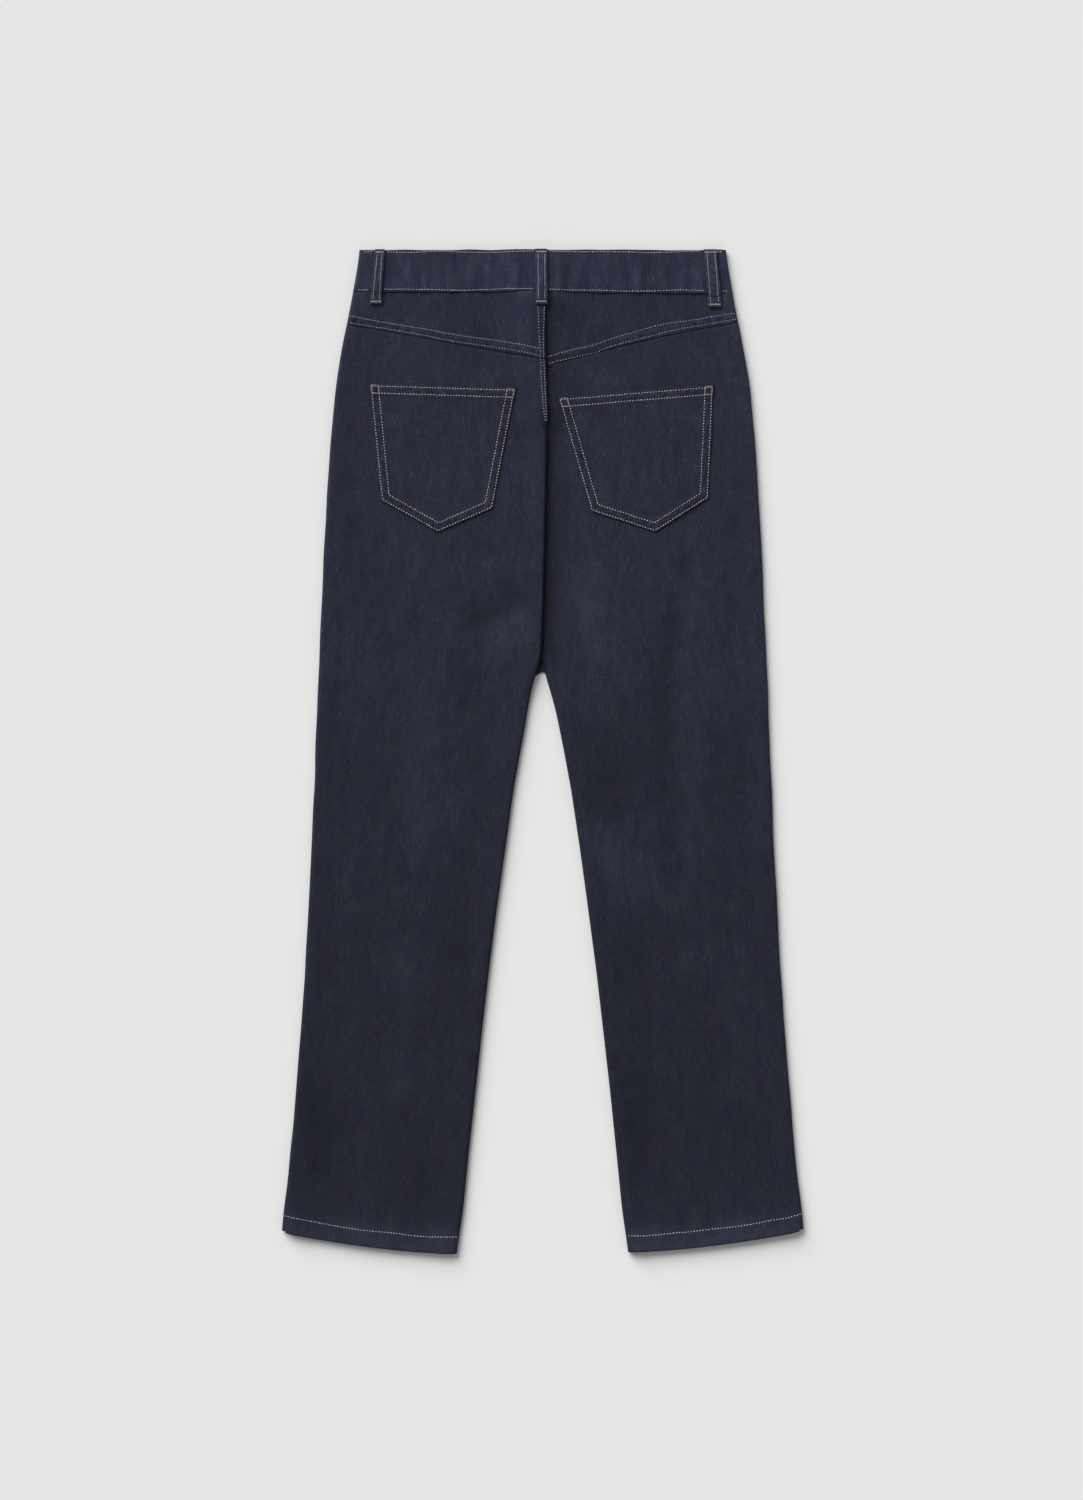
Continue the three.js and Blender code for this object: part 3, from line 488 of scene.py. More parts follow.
# A sheet from a grid of points, with its thickness on the far side. Its relief also tones the colour, lighter
# on ridges as wear and darker in troughs as painted shade; a further gain scales its colour, and rim is the
# radius of its cut edges
def clothPiece(name, grid, wall, finish, node, wearAndShade=0.0, colourGain=1.0, facing="up", rim=0.0):
    grid = np.array(grid)
    rows, cols = grid.shape[:2]
    i, j = rows // 2, cols // 2
    middle = np.cross(grid[i, j + 1] - grid[i, j], grid[i + 1, j] - grid[i, j])
    index = np.arange(rows * cols).reshape(rows, cols)
    quads = np.stack([index[:-1, :-1], index[:-1, 1:], index[1:, 1:], index[1:, :-1]], axis=-1).reshape(-1, 4)
    if (middle[2] > 0) != (facing == "up"):
        quads = quads[:, ::-1]
    lifted = grid + np.array([0, 0, cloth["lift"]])
    piece = linkMesh(name, lifted.reshape(-1, 3), quads.tolist())
    mesh = piece.data
    uv = mesh.uv_layers.new(name="grain")
    stepsAcross = np.hypot(np.diff(grid[:, :, 0], axis=1), np.diff(grid[:, :, 2], axis=1))
    across = np.concatenate([np.zeros((rows, 1)), np.cumsum(stepsAcross, axis=1)], axis=1)
    across = across - across[:, cols // 2:cols // 2 + 1]
    grain = np.stack([across, grid[:, :, 1]], axis=-1)
    corners = np.zeros(len(mesh.loops), int)
    mesh.loops.foreach_get("vertex_index", corners)
    uv.data.foreach_set("uv", (grain.reshape(-1, 2)[corners] * mm).astype(float).ravel())
    # The cloth's painted light and shade with its tone, times the piece's own gain
    fade = shadeAndToneAt(grid[:, :, 0], grid[:, :, 1]) * np.asarray(colourGain)
    for key, values in (("wearAndShade", np.zeros((rows, cols)) + np.asarray(wearAndShade, float)), ("fade", fade)):
        mesh.attributes.new(key, "FLOAT", "POINT").data.foreach_set("value", values.ravel())
    smoothShade(piece)
    solid = piece.modifiers.new("wall", "SOLIDIFY")
    solid.thickness, solid.offset, solid.use_quality_normals = wall * mm, -1, True
    bpy.context.view_layer.objects.active = piece
    bpy.ops.object.select_all(action="DESELECT")
    piece.select_set(True)
    bpy.ops.object.modifier_apply(modifier="wall")
    if rim:
        applyBevel(piece, rim * mm, 2, 50)
    pieces[name] = finishPiece(piece, name, finish, [node])
    print(name, "area m2", round(gridArea(grid), 4))


def gridArea(g):
    d1, d2 = g[1:, 1:] - g[:-1, :-1], g[1:, :-1] - g[:-1, 1:]
    return 0.5 * np.linalg.norm(np.cross(d1, d2), axis=-1).sum() * mm * mm


# An empty material, with one function that adds a node to it and one that joins two sockets
def startMaterial(name):
    material = bpy.data.materials.new(name)
    material.use_nodes = True
    tree = material.node_tree
    tree.nodes.clear()

    def make(kind, **values):
        node = tree.nodes.new(kind)
        for key, value in values.items():
            if key in node.inputs:
                node.inputs[key].default_value = value
            else:
                setattr(node, key, value)
        return node
    return material, make, tree.links.new


def joinShader(make, link, shader, colour, bump):
    link(colour, shader.inputs["Base Color"])
    link(bump.outputs["Normal"], shader.inputs["Normal"])
    link(shader.outputs["BSDF"], make("ShaderNodeOutputMaterial").inputs["Surface"])


denimLook = {
    "shades": ((0.0072, 0.0086, 0.0202), (0.0128, 0.0149, 0.0328), (0.0225, 0.0264, 0.0508)),
    "stops": (0.12, 0.5, 0.88), "middle": 0.42, "twill": 1250, "twillTone": 0.10, "wearAndShadeTone": 0.30,
    "roughness": 0.88, "specular": 0.28, "sheen": 0.05, "sheenRough": 0.45,
    "sheenTint": (0.62, 0.66, 0.80, 1), "bump": 0.45, "bumpSize": 0.0004, "twillTurn": 63, "turn": 0.6,
}
# Noises of the cloth: waves per metre across and along the grain, and what a share of each becomes
denimNoises = {
    "slub": {"scale": (900, 170), "detail": 2.0, "rough": 0.55, "from": (0.25, 0.75), "to": (-0.20, 0.20)},
    "streak": {"scale": (260, 48), "detail": 2.5, "rough": 0.6, "from": (0.3, 0.7), "to": (-0.09, 0.09)},
    "cloud": {"scale": (34, 22), "detail": 3.0, "rough": 0.55, "from": (0.3, 0.7), "to": (-0.06, 0.06)},
    "longStreak": {"scale": (80, 16), "detail": 2.0, "rough": 0.5, "from": (0.3, 0.7), "to": (-0.07, 0.07)},
    "crossSlub": {"scale": (110, 620), "detail": 1.5, "rough": 0.5, "from": (0.3, 0.7), "to": (-0.10, 0.10)},
    "lightSlub": {"scale": (470, 120), "detail": 3.0, "rough": 0.65, "from": (0.54, 0.74), "to": (0.0, 0.95)},
    "dash": {"scale": (95, 610), "detail": 2.0, "rough": 0.6, "from": (0.60, 0.76), "to": (0.0, 0.45)},
    "cluster": {"scale": (60, 34), "detail": 2.0, "rough": 0.5, "from": (0.38, 0.62), "to": (0.15, 1.0)},
    "tint": {"scale": (60, 26), "detail": 2.0, "rough": 0.5, "from": (0.3, 0.7), "to": (0.482, 0.519)},
    "depth": {"scale": (85, 40), "detail": 3.0, "rough": 0.6, "from": (0.32, 0.68), "to": (0.80, 1.08)},
}


def denimMaterial(name, gain=1.0, warm=0.0, seed=0.0):
    look = denimLook
    material, make, link = startMaterial(name)
    grain = make("ShaderNodeUVMap", uv_map="grain")

    def stretched(scaleX, scaleY, turn):
        mapping = make("ShaderNodeMapping")
        mapping.inputs["Scale"].default_value = (scaleX, scaleY, 1)
        mapping.inputs["Rotation"].default_value = (0, 0, turn)
        mapping.inputs["Location"].default_value = (seed, seed * 0.7, 0)
        link(grain.outputs["UV"], mapping.inputs["Vector"])
        return mapping.outputs["Vector"]

    def maths(kind, a, b):
        node = make("ShaderNodeMath", operation=kind)
        for socket, value in zip(node.inputs, (a, b)):
            if isinstance(value, (int, float)):
                socket.default_value = value
            else:
                link(value, socket)
        return node.outputs["Value"]

    def ranged(value, low, high):
        node = make("ShaderNodeMapRange")
        for key, v in zip(("From Min", "From Max", "To Min", "To Max"), (*low, *high)):
            node.inputs[key].default_value = v
        link(value, node.inputs["Value"])
        return node.outputs["Result"]

    raw, share = {}, {}
    for key, n in denimNoises.items():
        node = make("ShaderNodeTexNoise", Scale=1.0, Detail=n["detail"], Roughness=n["rough"])
        link(stretched(*n["scale"], look["turn"]), node.inputs["Vector"])
        raw[key] = node.outputs["Fac"]
        share[key] = ranged(raw[key], n["from"], n["to"])
    twill = make("ShaderNodeTexWave", bands_direction="X", Scale=1.0, Distortion=0.6, Detail=1.0)
    twillScale = look["twill"] / 6.28
    link(stretched(twillScale, twillScale, math.radians(look["twillTurn"])), twill.inputs["Vector"])
    # The relief tones the cloth: lighter on ridges as wear, darker in troughs as painted shade
    toned = make("ShaderNodeAttribute", attribute_name="wearAndShade")
    tone = share["slub"]
    for key in ("streak", "cloud", "longStreak"):
        tone = maths("ADD", tone, share[key])
    light = maths("MULTIPLY", maths("MAXIMUM", share["lightSlub"], share["dash"]), share["cluster"])
    twillTone = ranged(twill.outputs["Fac"], (0, 1), (-look["twillTone"], look["twillTone"]))
    wearAndShadeTone = ranged(toned.outputs["Fac"], (-1.5, 1.5), (-look["wearAndShadeTone"], look["wearAndShadeTone"]))
    for part in (light, share["crossSlub"], twillTone, wearAndShadeTone, look["middle"]):
        tone = maths("ADD", tone, part)
    ramp = make("ShaderNodeValToRGB")
    ramp.color_ramp.elements.new(look["stops"][1])
    for element, stop, shade in zip(ramp.color_ramp.elements, look["stops"], look["shades"]):
        red, green, blue = (c * gain for c in shade)
        element.position = stop
        element.color = (red * (1 + warm), green, blue * (1 - warm), 1)
    link(tone, ramp.inputs["Fac"])
    hue = make("ShaderNodeHueSaturation", Saturation=1.0, Value=1.0, Fac=1.0)
    link(share["tint"], hue.inputs["Hue"])
    link(share["depth"], hue.inputs["Saturation"])
    link(ramp.outputs["Color"], hue.inputs["Color"])
    # Painted light and shade of the cloth, with its tone, scale the colour
    shadeAndToneInput = make("ShaderNodeAttribute", attribute_name="fade")
    shadeAndToneScale = make("ShaderNodeVectorMath", operation="SCALE")
    link(hue.outputs["Color"], shadeAndToneScale.inputs[0])
    link(shadeAndToneInput.outputs["Fac"], shadeAndToneScale.inputs["Scale"])
    height = maths("ADD", maths("MULTIPLY", raw["slub"], 0.8), maths("MULTIPLY", twill.outputs["Fac"], 0.35))
    height = maths("ADD", height, maths("MULTIPLY", raw["crossSlub"], 0.4))
    bump = make("ShaderNodeBump", Strength=look["bump"], Distance=look["bumpSize"])
    link(height, bump.inputs["Height"])
    shader = make("ShaderNodeBsdfPrincipled", Roughness=look["roughness"])
    for key, value in (("Specular IOR Level", look["specular"]), ("Sheen Weight", look["sheen"]),
                       ("Sheen Roughness", look["sheenRough"]), ("Sheen Tint", look["sheenTint"])):
        shader.inputs[key].default_value = value
    joinShader(make, link, shader, shadeAndToneScale.outputs["Vector"], bump)
    return material


def plainMaterial(name, colour, roughness, metallic=0.0, scale=900.0, spread=0.2, bumpSize=0.00008,
                  sheen=0.0):
    material, make, link = startMaterial(name)
    place = make("ShaderNodeTexCoord")
    noise = make("ShaderNodeTexNoise", Scale=scale, Detail=3.0, Roughness=0.6)
    link(place.outputs["Object"], noise.inputs["Vector"])
    ramp = make("ShaderNodeValToRGB")
    for element, stop, gain in zip(ramp.color_ramp.elements, (0.3, 0.7), (1 - spread, 1 + spread)):
        element.position = stop
        element.color = (*(min(1, c * gain) for c in colour), 1)
    link(noise.outputs["Fac"], ramp.inputs["Fac"])
    bump = make("ShaderNodeBump", Strength=0.5, Distance=bumpSize)
    link(noise.outputs["Fac"], bump.inputs["Height"])
    shader = make("ShaderNodeBsdfPrincipled", Roughness=roughness, Metallic=metallic)
    shader.inputs["Sheen Weight"].default_value = sheen
    joinShader(make, link, shader, ramp.outputs["Color"], bump)
    return material


denims = {
    "legDenim": {"gain": 1.0}, "yokeDenim": {"gain": 1.03, "seed": 3.1},
    "pocketDenim": {"gain": 1.06, "warm": 0.02, "seed": 5.7}, "bandDenim": {"gain": 1.33, "seed": 8.3},
}
plains = {
    "thread": {"colour": (0.52, 0.485, 0.49), "roughness": 0.7, "spread": 0.45, "scale": 420, "sheen": 0.2},
    "dimThread": {"colour": (0.31, 0.295, 0.31), "roughness": 0.75, "spread": 0.45, "scale": 420,
                   "sheen": 0.1},
    "tanThread": {"colour": (0.30, 0.255, 0.215), "roughness": 0.7, "spread": 0.4, "scale": 500,
                  "sheen": 0.2},
    "metal": {"colour": (0.42, 0.31, 0.20), "roughness": 0.34, "metallic": 1.0, "spread": 0.18, "scale": 260},
    "zipCloth": {"colour": (0.020, 0.020, 0.027), "roughness": 0.8, "spread": 0.25, "scale": 1200},
    "floor": {"colour": (0.80, 0.80, 0.80), "roughness": 0.9, "spread": 0.004, "scale": 40, "bumpSize": 0.0},
}
materials = {name: denimMaterial(name, **look) for name, look in denims.items()}
materials.update({name: plainMaterial(name, **look) for name, look in plains.items()})
print("materials made")

# Camera, floor and light, in metres; tall is the height of the view at the plane of the cloth
stage = {
    "centre": (-0.0012, 0.0017), "height": 3.2, "tall": 1.464, "planeZ": 0.006, "sensor": 36, "floorSize": 90,
    "floorZ": -0.00015, "keyPlace": (-0.95, 1.45, 1.1), "keyAngle": 48, "keyPower": 3.75, "world": 0.345,
}


def makeStage():
    scene = bpy.context.scene
    camera = bpy.data.objects.new("camera", bpy.data.cameras.new("camera"))
    bpy.context.collection.objects.link(camera)
    camera.location = (*stage["centre"], stage["height"])
    camera.data.sensor_width = stage["sensor"]
    camera.data.lens = stage["sensor"] * (stage["height"] - stage["planeZ"]) / stage["tall"]
    scene.camera = camera
    bpy.ops.mesh.primitive_plane_add(size=stage["floorSize"], location=(0, 0, stage["floorZ"]))
    floor = bpy.context.active_object
    floor.name = "floor"
    bpy.ops.object.transform_apply(location=True, rotation=True, scale=True)
    floor.data.materials.append(materials["floor"])
    key = bpy.data.objects.new("keyLight", bpy.data.lights.new("keyLight", "SUN"))
    bpy.context.collection.objects.link(key)
    key.location = stage["keyPlace"]
    key.rotation_euler = (-Vector(stage["keyPlace"])).to_track_quat("-Z", "Y").to_euler()
    key.data.angle = math.radians(stage["keyAngle"])
    key.data.energy = stage["keyPower"]
    scene.world = bpy.data.worlds.new("softRoom")
    scene.world.use_nodes = True
    background = scene.world.node_tree.nodes["Background"]
    background.inputs["Color"].default_value = (1, 1, 1, 1)
    background.inputs["Strength"].default_value = stage["world"]
    scene.view_settings.view_transform = "Standard"


makeStage()
print("stage made")

# Where the yoke lies over the back panel: how far it reaches below the seam, and how far the panel
# is sunk and the yoke's edge pressed down there. rowLow and rowHigh are its stitch rows
seamLap = {"width": 9.5, "below": 5.2, "sink": 0.8, "pressed": 0.5,
           "rowLow": -3.2, "rowHigh": 3.4, "rowSink": 0.2}
legSize = {"top": 384.0, "blend": 39, "fine": 1.6, "coarse": 3.4, "fineReach": 45, "hemRise": 0.45}


# The back panel's top edge steps down under the yoke, away from the folds at its ends
def topOverlap(t, side):
    share = smooth((t - 0.02) / 0.05)
    return share if side < 0 else share * smooth((0.95 - t) / 0.05)


# Where along a row the yoke lies over the leg: not round the side fold, nor past the seat seam
def lapShare(side, n):
    index = np.arange(n)
    share = smooth((index - steps["tail"] - 0.55 * steps["arc"]) / (0.45 * steps["arc"]))
    return share * smooth((n - steps["tail"] - steps["arc"] - 1 - index) / 6) if side > 0 else share


def backLeg(side, name, node):
    def level(base):
        def at(a, t=0.5):
            edge = yokeSeam(side, a) - (seamLap["below"] + 0.4) * (1 - topOverlap(t, side))
            near = smooth((base - legSize["top"] + legSize["blend"]) / legSize["blend"])
            return base + (edge - legSize["top"]) * near + hemShift(side, a, base)
        return at

    bases, base = [], legSize["top"]
    while base > hemY + 1:
        bases.append(base)
        near = smooth(min(legSize["top"] - base, base - hemY) / legSize["fineReach"])
        base -= mix(legSize["fine"], legSize["coarse"], float(near))
    bases.append(hemY)
    grid, wearAndShade = [], []
    for base in bases:
        row = backRow(side, level(base))
        hemBand = float(smooth((hemY + hemSize["band"] - base) / 1.2))
        above = row["y"] - yokeSeam(side, row["a"]) + seamLap["below"]
        under = smooth((above + 0.9) / 1.2) * lapShare(side, len(row["a"]))
        moved = legSize["hemRise"] * hemBand - seamLap["sink"] * under
        grid.append(gridRow(side * row["a"], row["y"], row["z"] + moved * (row["z"] > 3)))
        wearAndShade.append(row["relief"])
    clothPiece(name, grid, cloth["wall"], "legDenim", node, wearAndShade)


backLeg(-1, "backLegLeft", "back_left")
backLeg(1, "backLegRight", "back_right")
print("back legs made")


# The felled strip between two stitch rows, and how its dye is rubbed off in places
def stripShare(away, low, high):
    return smooth((away - low) / 1.2) * smooth((high - away) / 1.2)


def rubbed(u, v):
    return -0.10 + 0.42 * np.clip(seamNoise(u, v), -1, 1)


def yokePiece(side, name, node, count=36):
    grid, wearAndShade, colourGain = [], [], []
    for i in range(count + 1):
        v = mix(i / count, 1 - (1 - i / count) ** 1.6, 0.5)
        row = backRow(side, lambda a, t=0.5: mix(bandY - 0.1, yokeSeam(side, a) - seamLap["below"], v))
        x = side * row["a"]
        above = row["y"] - yokeSeam(side, row["a"])
        near = smooth((seamLap["width"] - (above + seamLap["below"])) / 3.0)
        pucker = gathers("yoke", x + 0.5 * above, above)
        for stitchRow in (seamLap["rowLow"], seamLap["rowHigh"]):
            pucker = pucker - seamLap["rowSink"] * bell(above - stitchRow, 0.9)
        pressed = seamLap["pressed"] * (1 - smooth((above + seamLap["below"]) / 1.6))
        amount = lapShare(side, len(x)) * near * (cloth["seam"] - seamLap["sink"] + pucker - pressed)
        a, z = raised(row, amount)
        grid.append(gridRow(side * a, row["y"], z))
        wearAndShade.append(row["relief"])
        strip = stripShare(above, seamLap["rowLow"], seamLap["rowHigh"])
        colourGain.append((1 + strip * rubbed(x * 2.3, above * 3.0)) * (1.04 if side > 0 else 1.0))
    clothPiece(name, grid, cloth["wall"], "yokeDenim", node, wearAndShade, colourGain)


yokePiece(-1, "yokeLeft", "yoke_left")
yokePiece(1, "yokeRight", "yoke_right")
print("yokes made")


# A tree of finished pieces, to find their heights from above and from below
def surfaceOf(*names):
    verts, faces = [], []
    for name in names:
        mesh = pieces[name].data
        start = len(verts)
        co = np.zeros(len(mesh.vertices) * 3)
        mesh.vertices.foreach_get("co", co)
        verts.extend((co.reshape(-1, 3) / mm).tolist())
        faces.extend([[start + v for v in p.vertices] for p in mesh.polygons])
    return BVHTree.FromPolygons(verts, faces)


def heightOf(tree, x, y, under=False, otherwise=None):
    sign = -1 if under else 1
    hit = tree.ray_cast(Vector((float(x), float(y), 60.0 * sign)), Vector((0, 0, -sign)))
    return hit[0].z if hit[0] is not None else otherwise


bandSize = {
    "end": 20, "rows": 27, "frontSteps": 40, "backSteps": 176, "arcSteps": 9, "edgeSink": 0.75, "rowIn": 2.1,
    "rowSink": 0.28, "lapFrom": 48, "lapReach": 24, "broad": 0.22, "cloth": 0.13, "small": 0.03,
}
# Dips and swells of the band; as relief they also tone its colour, with painted shade in the dips
bandSpots = [
    {"x": -112, "y": 486, "wide": 26, "long": 11, "gain": -0.9},
    {"x": 112, "y": 484, "wide": 30, "long": 11, "gain": -0.8},
    {"x": -52, "y": 470, "wide": 22, "long": 11, "gain": 0.35},
    {"x": 48, "y": 466, "wide": 26, "long": 11, "gain": 0.4},
]


# The band's lower edge lies a little lower on the right
def bandDrop(x):
    return 1.1 * smooth(x / 60)


def bandRelief(x, y, low):
    relief = bandSize["broad"] * broadRipple(x * 1.3, y + 40) + bandSize["cloth"] * clothRipple(x, y * 0.6)
    relief = relief + bandSize["small"] * smallRipple(x, y)
    relief = relief + gathers("bandLow", x, y - low - 3) + gathers("bandTop", x + 31, topY - y - 2)
    relief = relief + gathers("bandWide", x + 90, y - low - 6) + gathers("bandMiddle", x + 7, y - low - 20)
    return relief + sum(spotAt(spot, x, y) for spot in bandSpots)


# Rows go from the button end round the left side, across the back and round the right side
def makeWaistband():
    grid, wearAndShade, colourGain = [], [], []
    low, radius = bandY - 0.1, shape["bandR"]
    for v in np.linspace(0, 1, bandSize["rows"]):
        v = mix(v, 0.5 - 0.5 * math.cos(math.pi * v), 0.5)
        y = mix(low, topY, v)
        side = float(outerAt(y)) - radius
        edgeIn = min(y - low, topY - y)
        tuck = bandSize["edgeSink"] * (1 - float(smooth(edgeIn / 1.6)))
        tuck = tuck + bandSize["rowSink"] * math.exp(-((edgeIn - bandSize["rowIn"]) / 0.9) ** 2)

        def front(x, lap):
            yy = y - shape["dip"] * np.maximum(0, 1 - (x / side) ** 2)
            return gridRow(x, yy, frontLift(x, yy) + lap)
        first = front(np.linspace(bandSize["end"], -side, bandSize["frontSteps"] + 1), 0.0)
        x = np.linspace(side, -bandSize["end"], bandSize["frontSteps"] + 3)
        lap = cloth["band"] + cloth["gap"]
        last = front(x, lap * smooth((bandSize["lapFrom"] - x) / bandSize["lapReach"]))
        turn = math.pi * np.arange(1, bandSize["arcSteps"]) / bandSize["arcSteps"]
        xFold, zFold = -(side + radius * np.sin(turn)), radius * (1 - np.cos(turn))
        x = np.linspace(-side, side, bandSize["backSteps"] + 1)
        near = (side - np.abs(x)) / shape["fade"]
        relief = bandRelief(x, y, low)
        z = shape["bandMid"] + (2 * radius - shape["bandMid"]) * (1 - smooth(near))
        z = z + backLift(x, y) + relief * smooth(near * 2.5) - tuck
        wobble = 0.22 * seamNoise(x * 0.5, 90.0) * (1 if v in (0, 1) else 0.6)
        back = gridRow(x, y + wobble - bandDrop(x) * (1 - v), z)
        left, right = gridRow(xFold, y, zFold), gridRow(-xFold[::-1], y, zFold[::-1])
        row = np.concatenate([first, left, back, right, last])
        grid.append(row)
        x = row[:, 0]
        streak = 0.16 * np.clip(seamNoise(x * 1.5, y * 0.22), -1, 1.4) * float(smooth((topY - y + 6) / 30))
        streak = streak + 0.04 * np.clip(seamNoise(x * 0.55 + 200, y * 0.4), -1, 1)
        # Painted shade in a thin line along the band's top edge
        colourGain.append(1 + streak - 0.10 * math.exp(-((topY - y - 1.0) / 2.5) ** 2))
        wearAndShade.append(np.zeros(len(x)))
        wearAndShade[-1][len(first) + len(xFold):][:len(relief)] = relief
    clothPiece("waistbandCloth", grid, cloth["band"], "bandDenim", "waistband",
               wearAndShade, colourGain, rim=0.35)


makeWaistband()
print("waistband made")

# Front panels: scooped pocket mouths, the fly's overlap, and a web where they meet at the crotch
mouth = {"inner": 95, "outer": 189, "depth": 74.7, "steps": 18}
fly = {"end": 333, "flat": 322, "lap": 8, "slope": 12}
frontSize = {
    "low": 315.0, "coarse": 4.5, "fine": 1.5, "hemReach": 22, "webFrom": 92, "webLow": 78, "webArch": 9,
    "webGap": 0.02, "across": 34, "hipIn": 0.6, "broadWearAndShade": 0.5, "clothWearAndShade": 0.25,
}
facingSize = {"top": 80, "bottom": 128, "depth": 91, "rows": 22, "across": 26}


# How far from the centre the back panel's turned-under part reaches in a row
def turnedReach(row):
    a, z = row["a"], row["z"]
    atSeat = row["y"][0] >= shape["crotchY"] + 4
    low = cloth["wall"] + cloth["gap"] / 2 if atSeat else shape["seatFloor"] - 0.1
    last = slice(len(a) - steps["arc"] - steps["tail"] - 2, len(a))
    inA, inZ = raised(row, -cloth["wall"])
    found = np.concatenate([a[last][z[last] < low], inA[last][inZ[last] < low]])
    return found.max() if len(found) else -1e9


def makeFront(side, name, node):
    grid, wearAndShade = [], []
    half = cloth["gap"] / 2

    def centre(y):
        return mix(half, -fly["lap"], float(smooth((y - fly["end"]) / 12))) if side > 0 else half

    def addRow(level, innerA, outerA, lap=0.0):
        lapEnd = max(innerA, 0) + 1
        a = np.concatenate([[innerA], np.linspace(lapEnd, lapEnd + fly["slope"], 5)[:-1],
                            np.linspace(lapEnd + fly["slope"], outerA, frontSize["across"])])
        y = level(a)
        x, y = side * a, y - dipAt(np.abs(a), y)
        grid.append(gridRow(x, y, frontLift(x, y) + lap * (1 - smooth((a - 1) / fly["slope"]))))
        broad, fine = broadRipple(x + 300, y), clothRipple(x + 100, y)
        wearAndShade.append(frontSize["broadWearAndShade"] * broad + frontSize["clothWearAndShade"] * fine)

    def addHipRow(y, mouthA=1e9):
        hip = float(outerAt(y)) - shape["edgeR"] - shape["turnUnder"] - frontSize["hipIn"]
        lap = (cloth["wall"] + cloth["gap"]) * float(smooth((y - fly["flat"]) / (fly["end"] - fly["flat"])))
        lap = lap if side > 0 else 0.0
        addRow(lambda a: np.full(np.shape(a), float(y)), centre(y), min(hip, mouthA), lap)

    for k in range(mouth["steps"] + 1):
        turn = math.pi / 2 * k / mouth["steps"]
        mouthA = mouth["outer"] - (mouth["outer"] - mouth["inner"]) * math.cos(turn)
        addHipRow(bandY - half - mouth["depth"] * math.sin(turn), mouthA)
    for y in (368, 362, 356, 350, 344, 338, 333, 328, 322):
        addHipRow(y)
    bases, base = [], frontSize["low"]
    while base > hemY:
        bases.append(base)
        coarse = base > hemY + frontSize["hemReach"] and not 58 < base < frontSize["webFrom"]
        base -= frontSize["coarse"] if coarse else frontSize["fine"]
    for base in [*bases, hemY]:
        def level(a, t=0.5):
            return base + hemShift(side, a, base)
        row = backRow(side, level)
        inner = max(half, turnedReach(row) + cloth["gap"])
        web = float(np.clip((frontSize["webLow"] - base) / frontSize["webArch"], 0, 1)) ** 0.6
        seam = mix(frontSize["webGap"], half, float(smooth((base - frontSize["webFrom"]) / 12)))
        addRow(level, mix(seam, inner, web), row["a"][0] - cloth["gap"])
    clothPiece(name, grid, cloth["wall"], "legDenim", node, wearAndShade, facing="down")


def makeFacing(side, name, node):
    grid = []
    for t in np.linspace(0, 1, facingSize["rows"]):
        y = bandY - cloth["gap"] / 2 - facingSize["depth"] * t
        inner = mix(facingSize["top"], facingSize["bottom"], t)
        a = np.linspace(inner, float(outerAt(y)) - shape["edgeR"] - 2, facingSize["across"])
        y = y - dipAt(a, y)
        grid.append(gridRow(side * a, y, frontLift(side * a, y) + cloth["wall"] + cloth["gap"]))
    clothPiece(name, grid, cloth["wall"], "yokeDenim", node, facing="down")


for side, word in ((-1, "Left"), (1, "Right")):
    makeFront(side, "front" + word, "front_" + word.lower())
for side, word in ((-1, "Left"), (1, "Right")):
    makeFacing(side, "facing" + word, "facing_" + word.lower())
print("fronts made")

# Back pockets: five corners each, and two stitch rows at the sides (side1, side2) and at the top
pocketCorners = {
    -1: {"topOut": (-169.1, 359.4), "topIn": (-25.9, 355.0), "lowIn": (-48.6, 237.4),
         "point": (-102.2, 214.0), "lowOut": (-157.9, 245.2)},
    1: {"topOut": (167.0, 358.3), "topIn": (14.9, 345.6), "lowIn": (47.1, 234.8),
        "point": (109.8, 214.1), "lowOut": (162.1, 247.4)},
}
pocketSize = {
    "across": 84, "down": 78, "hem": 11.2, "side1": 1.6, "side2": 8.4, "top1": 2.4, "top2": 9.3,
    "clear": 0.25, "bulge": 0.75, "sideRise": 0.40, "hemRise": 0.45, "rowSink": 0.30, "edgeSink": 0.35,
    "cloth": 0.16, "small": 0.03,
}


def lineAway(p, q, x, y):
    (x1, y1), (x2, y2) = p, q
    return np.abs((x2 - x1) * (y - y1) - (y2 - y1) * (x - x1)) / math.hypot(x2 - x1, y2 - y1)


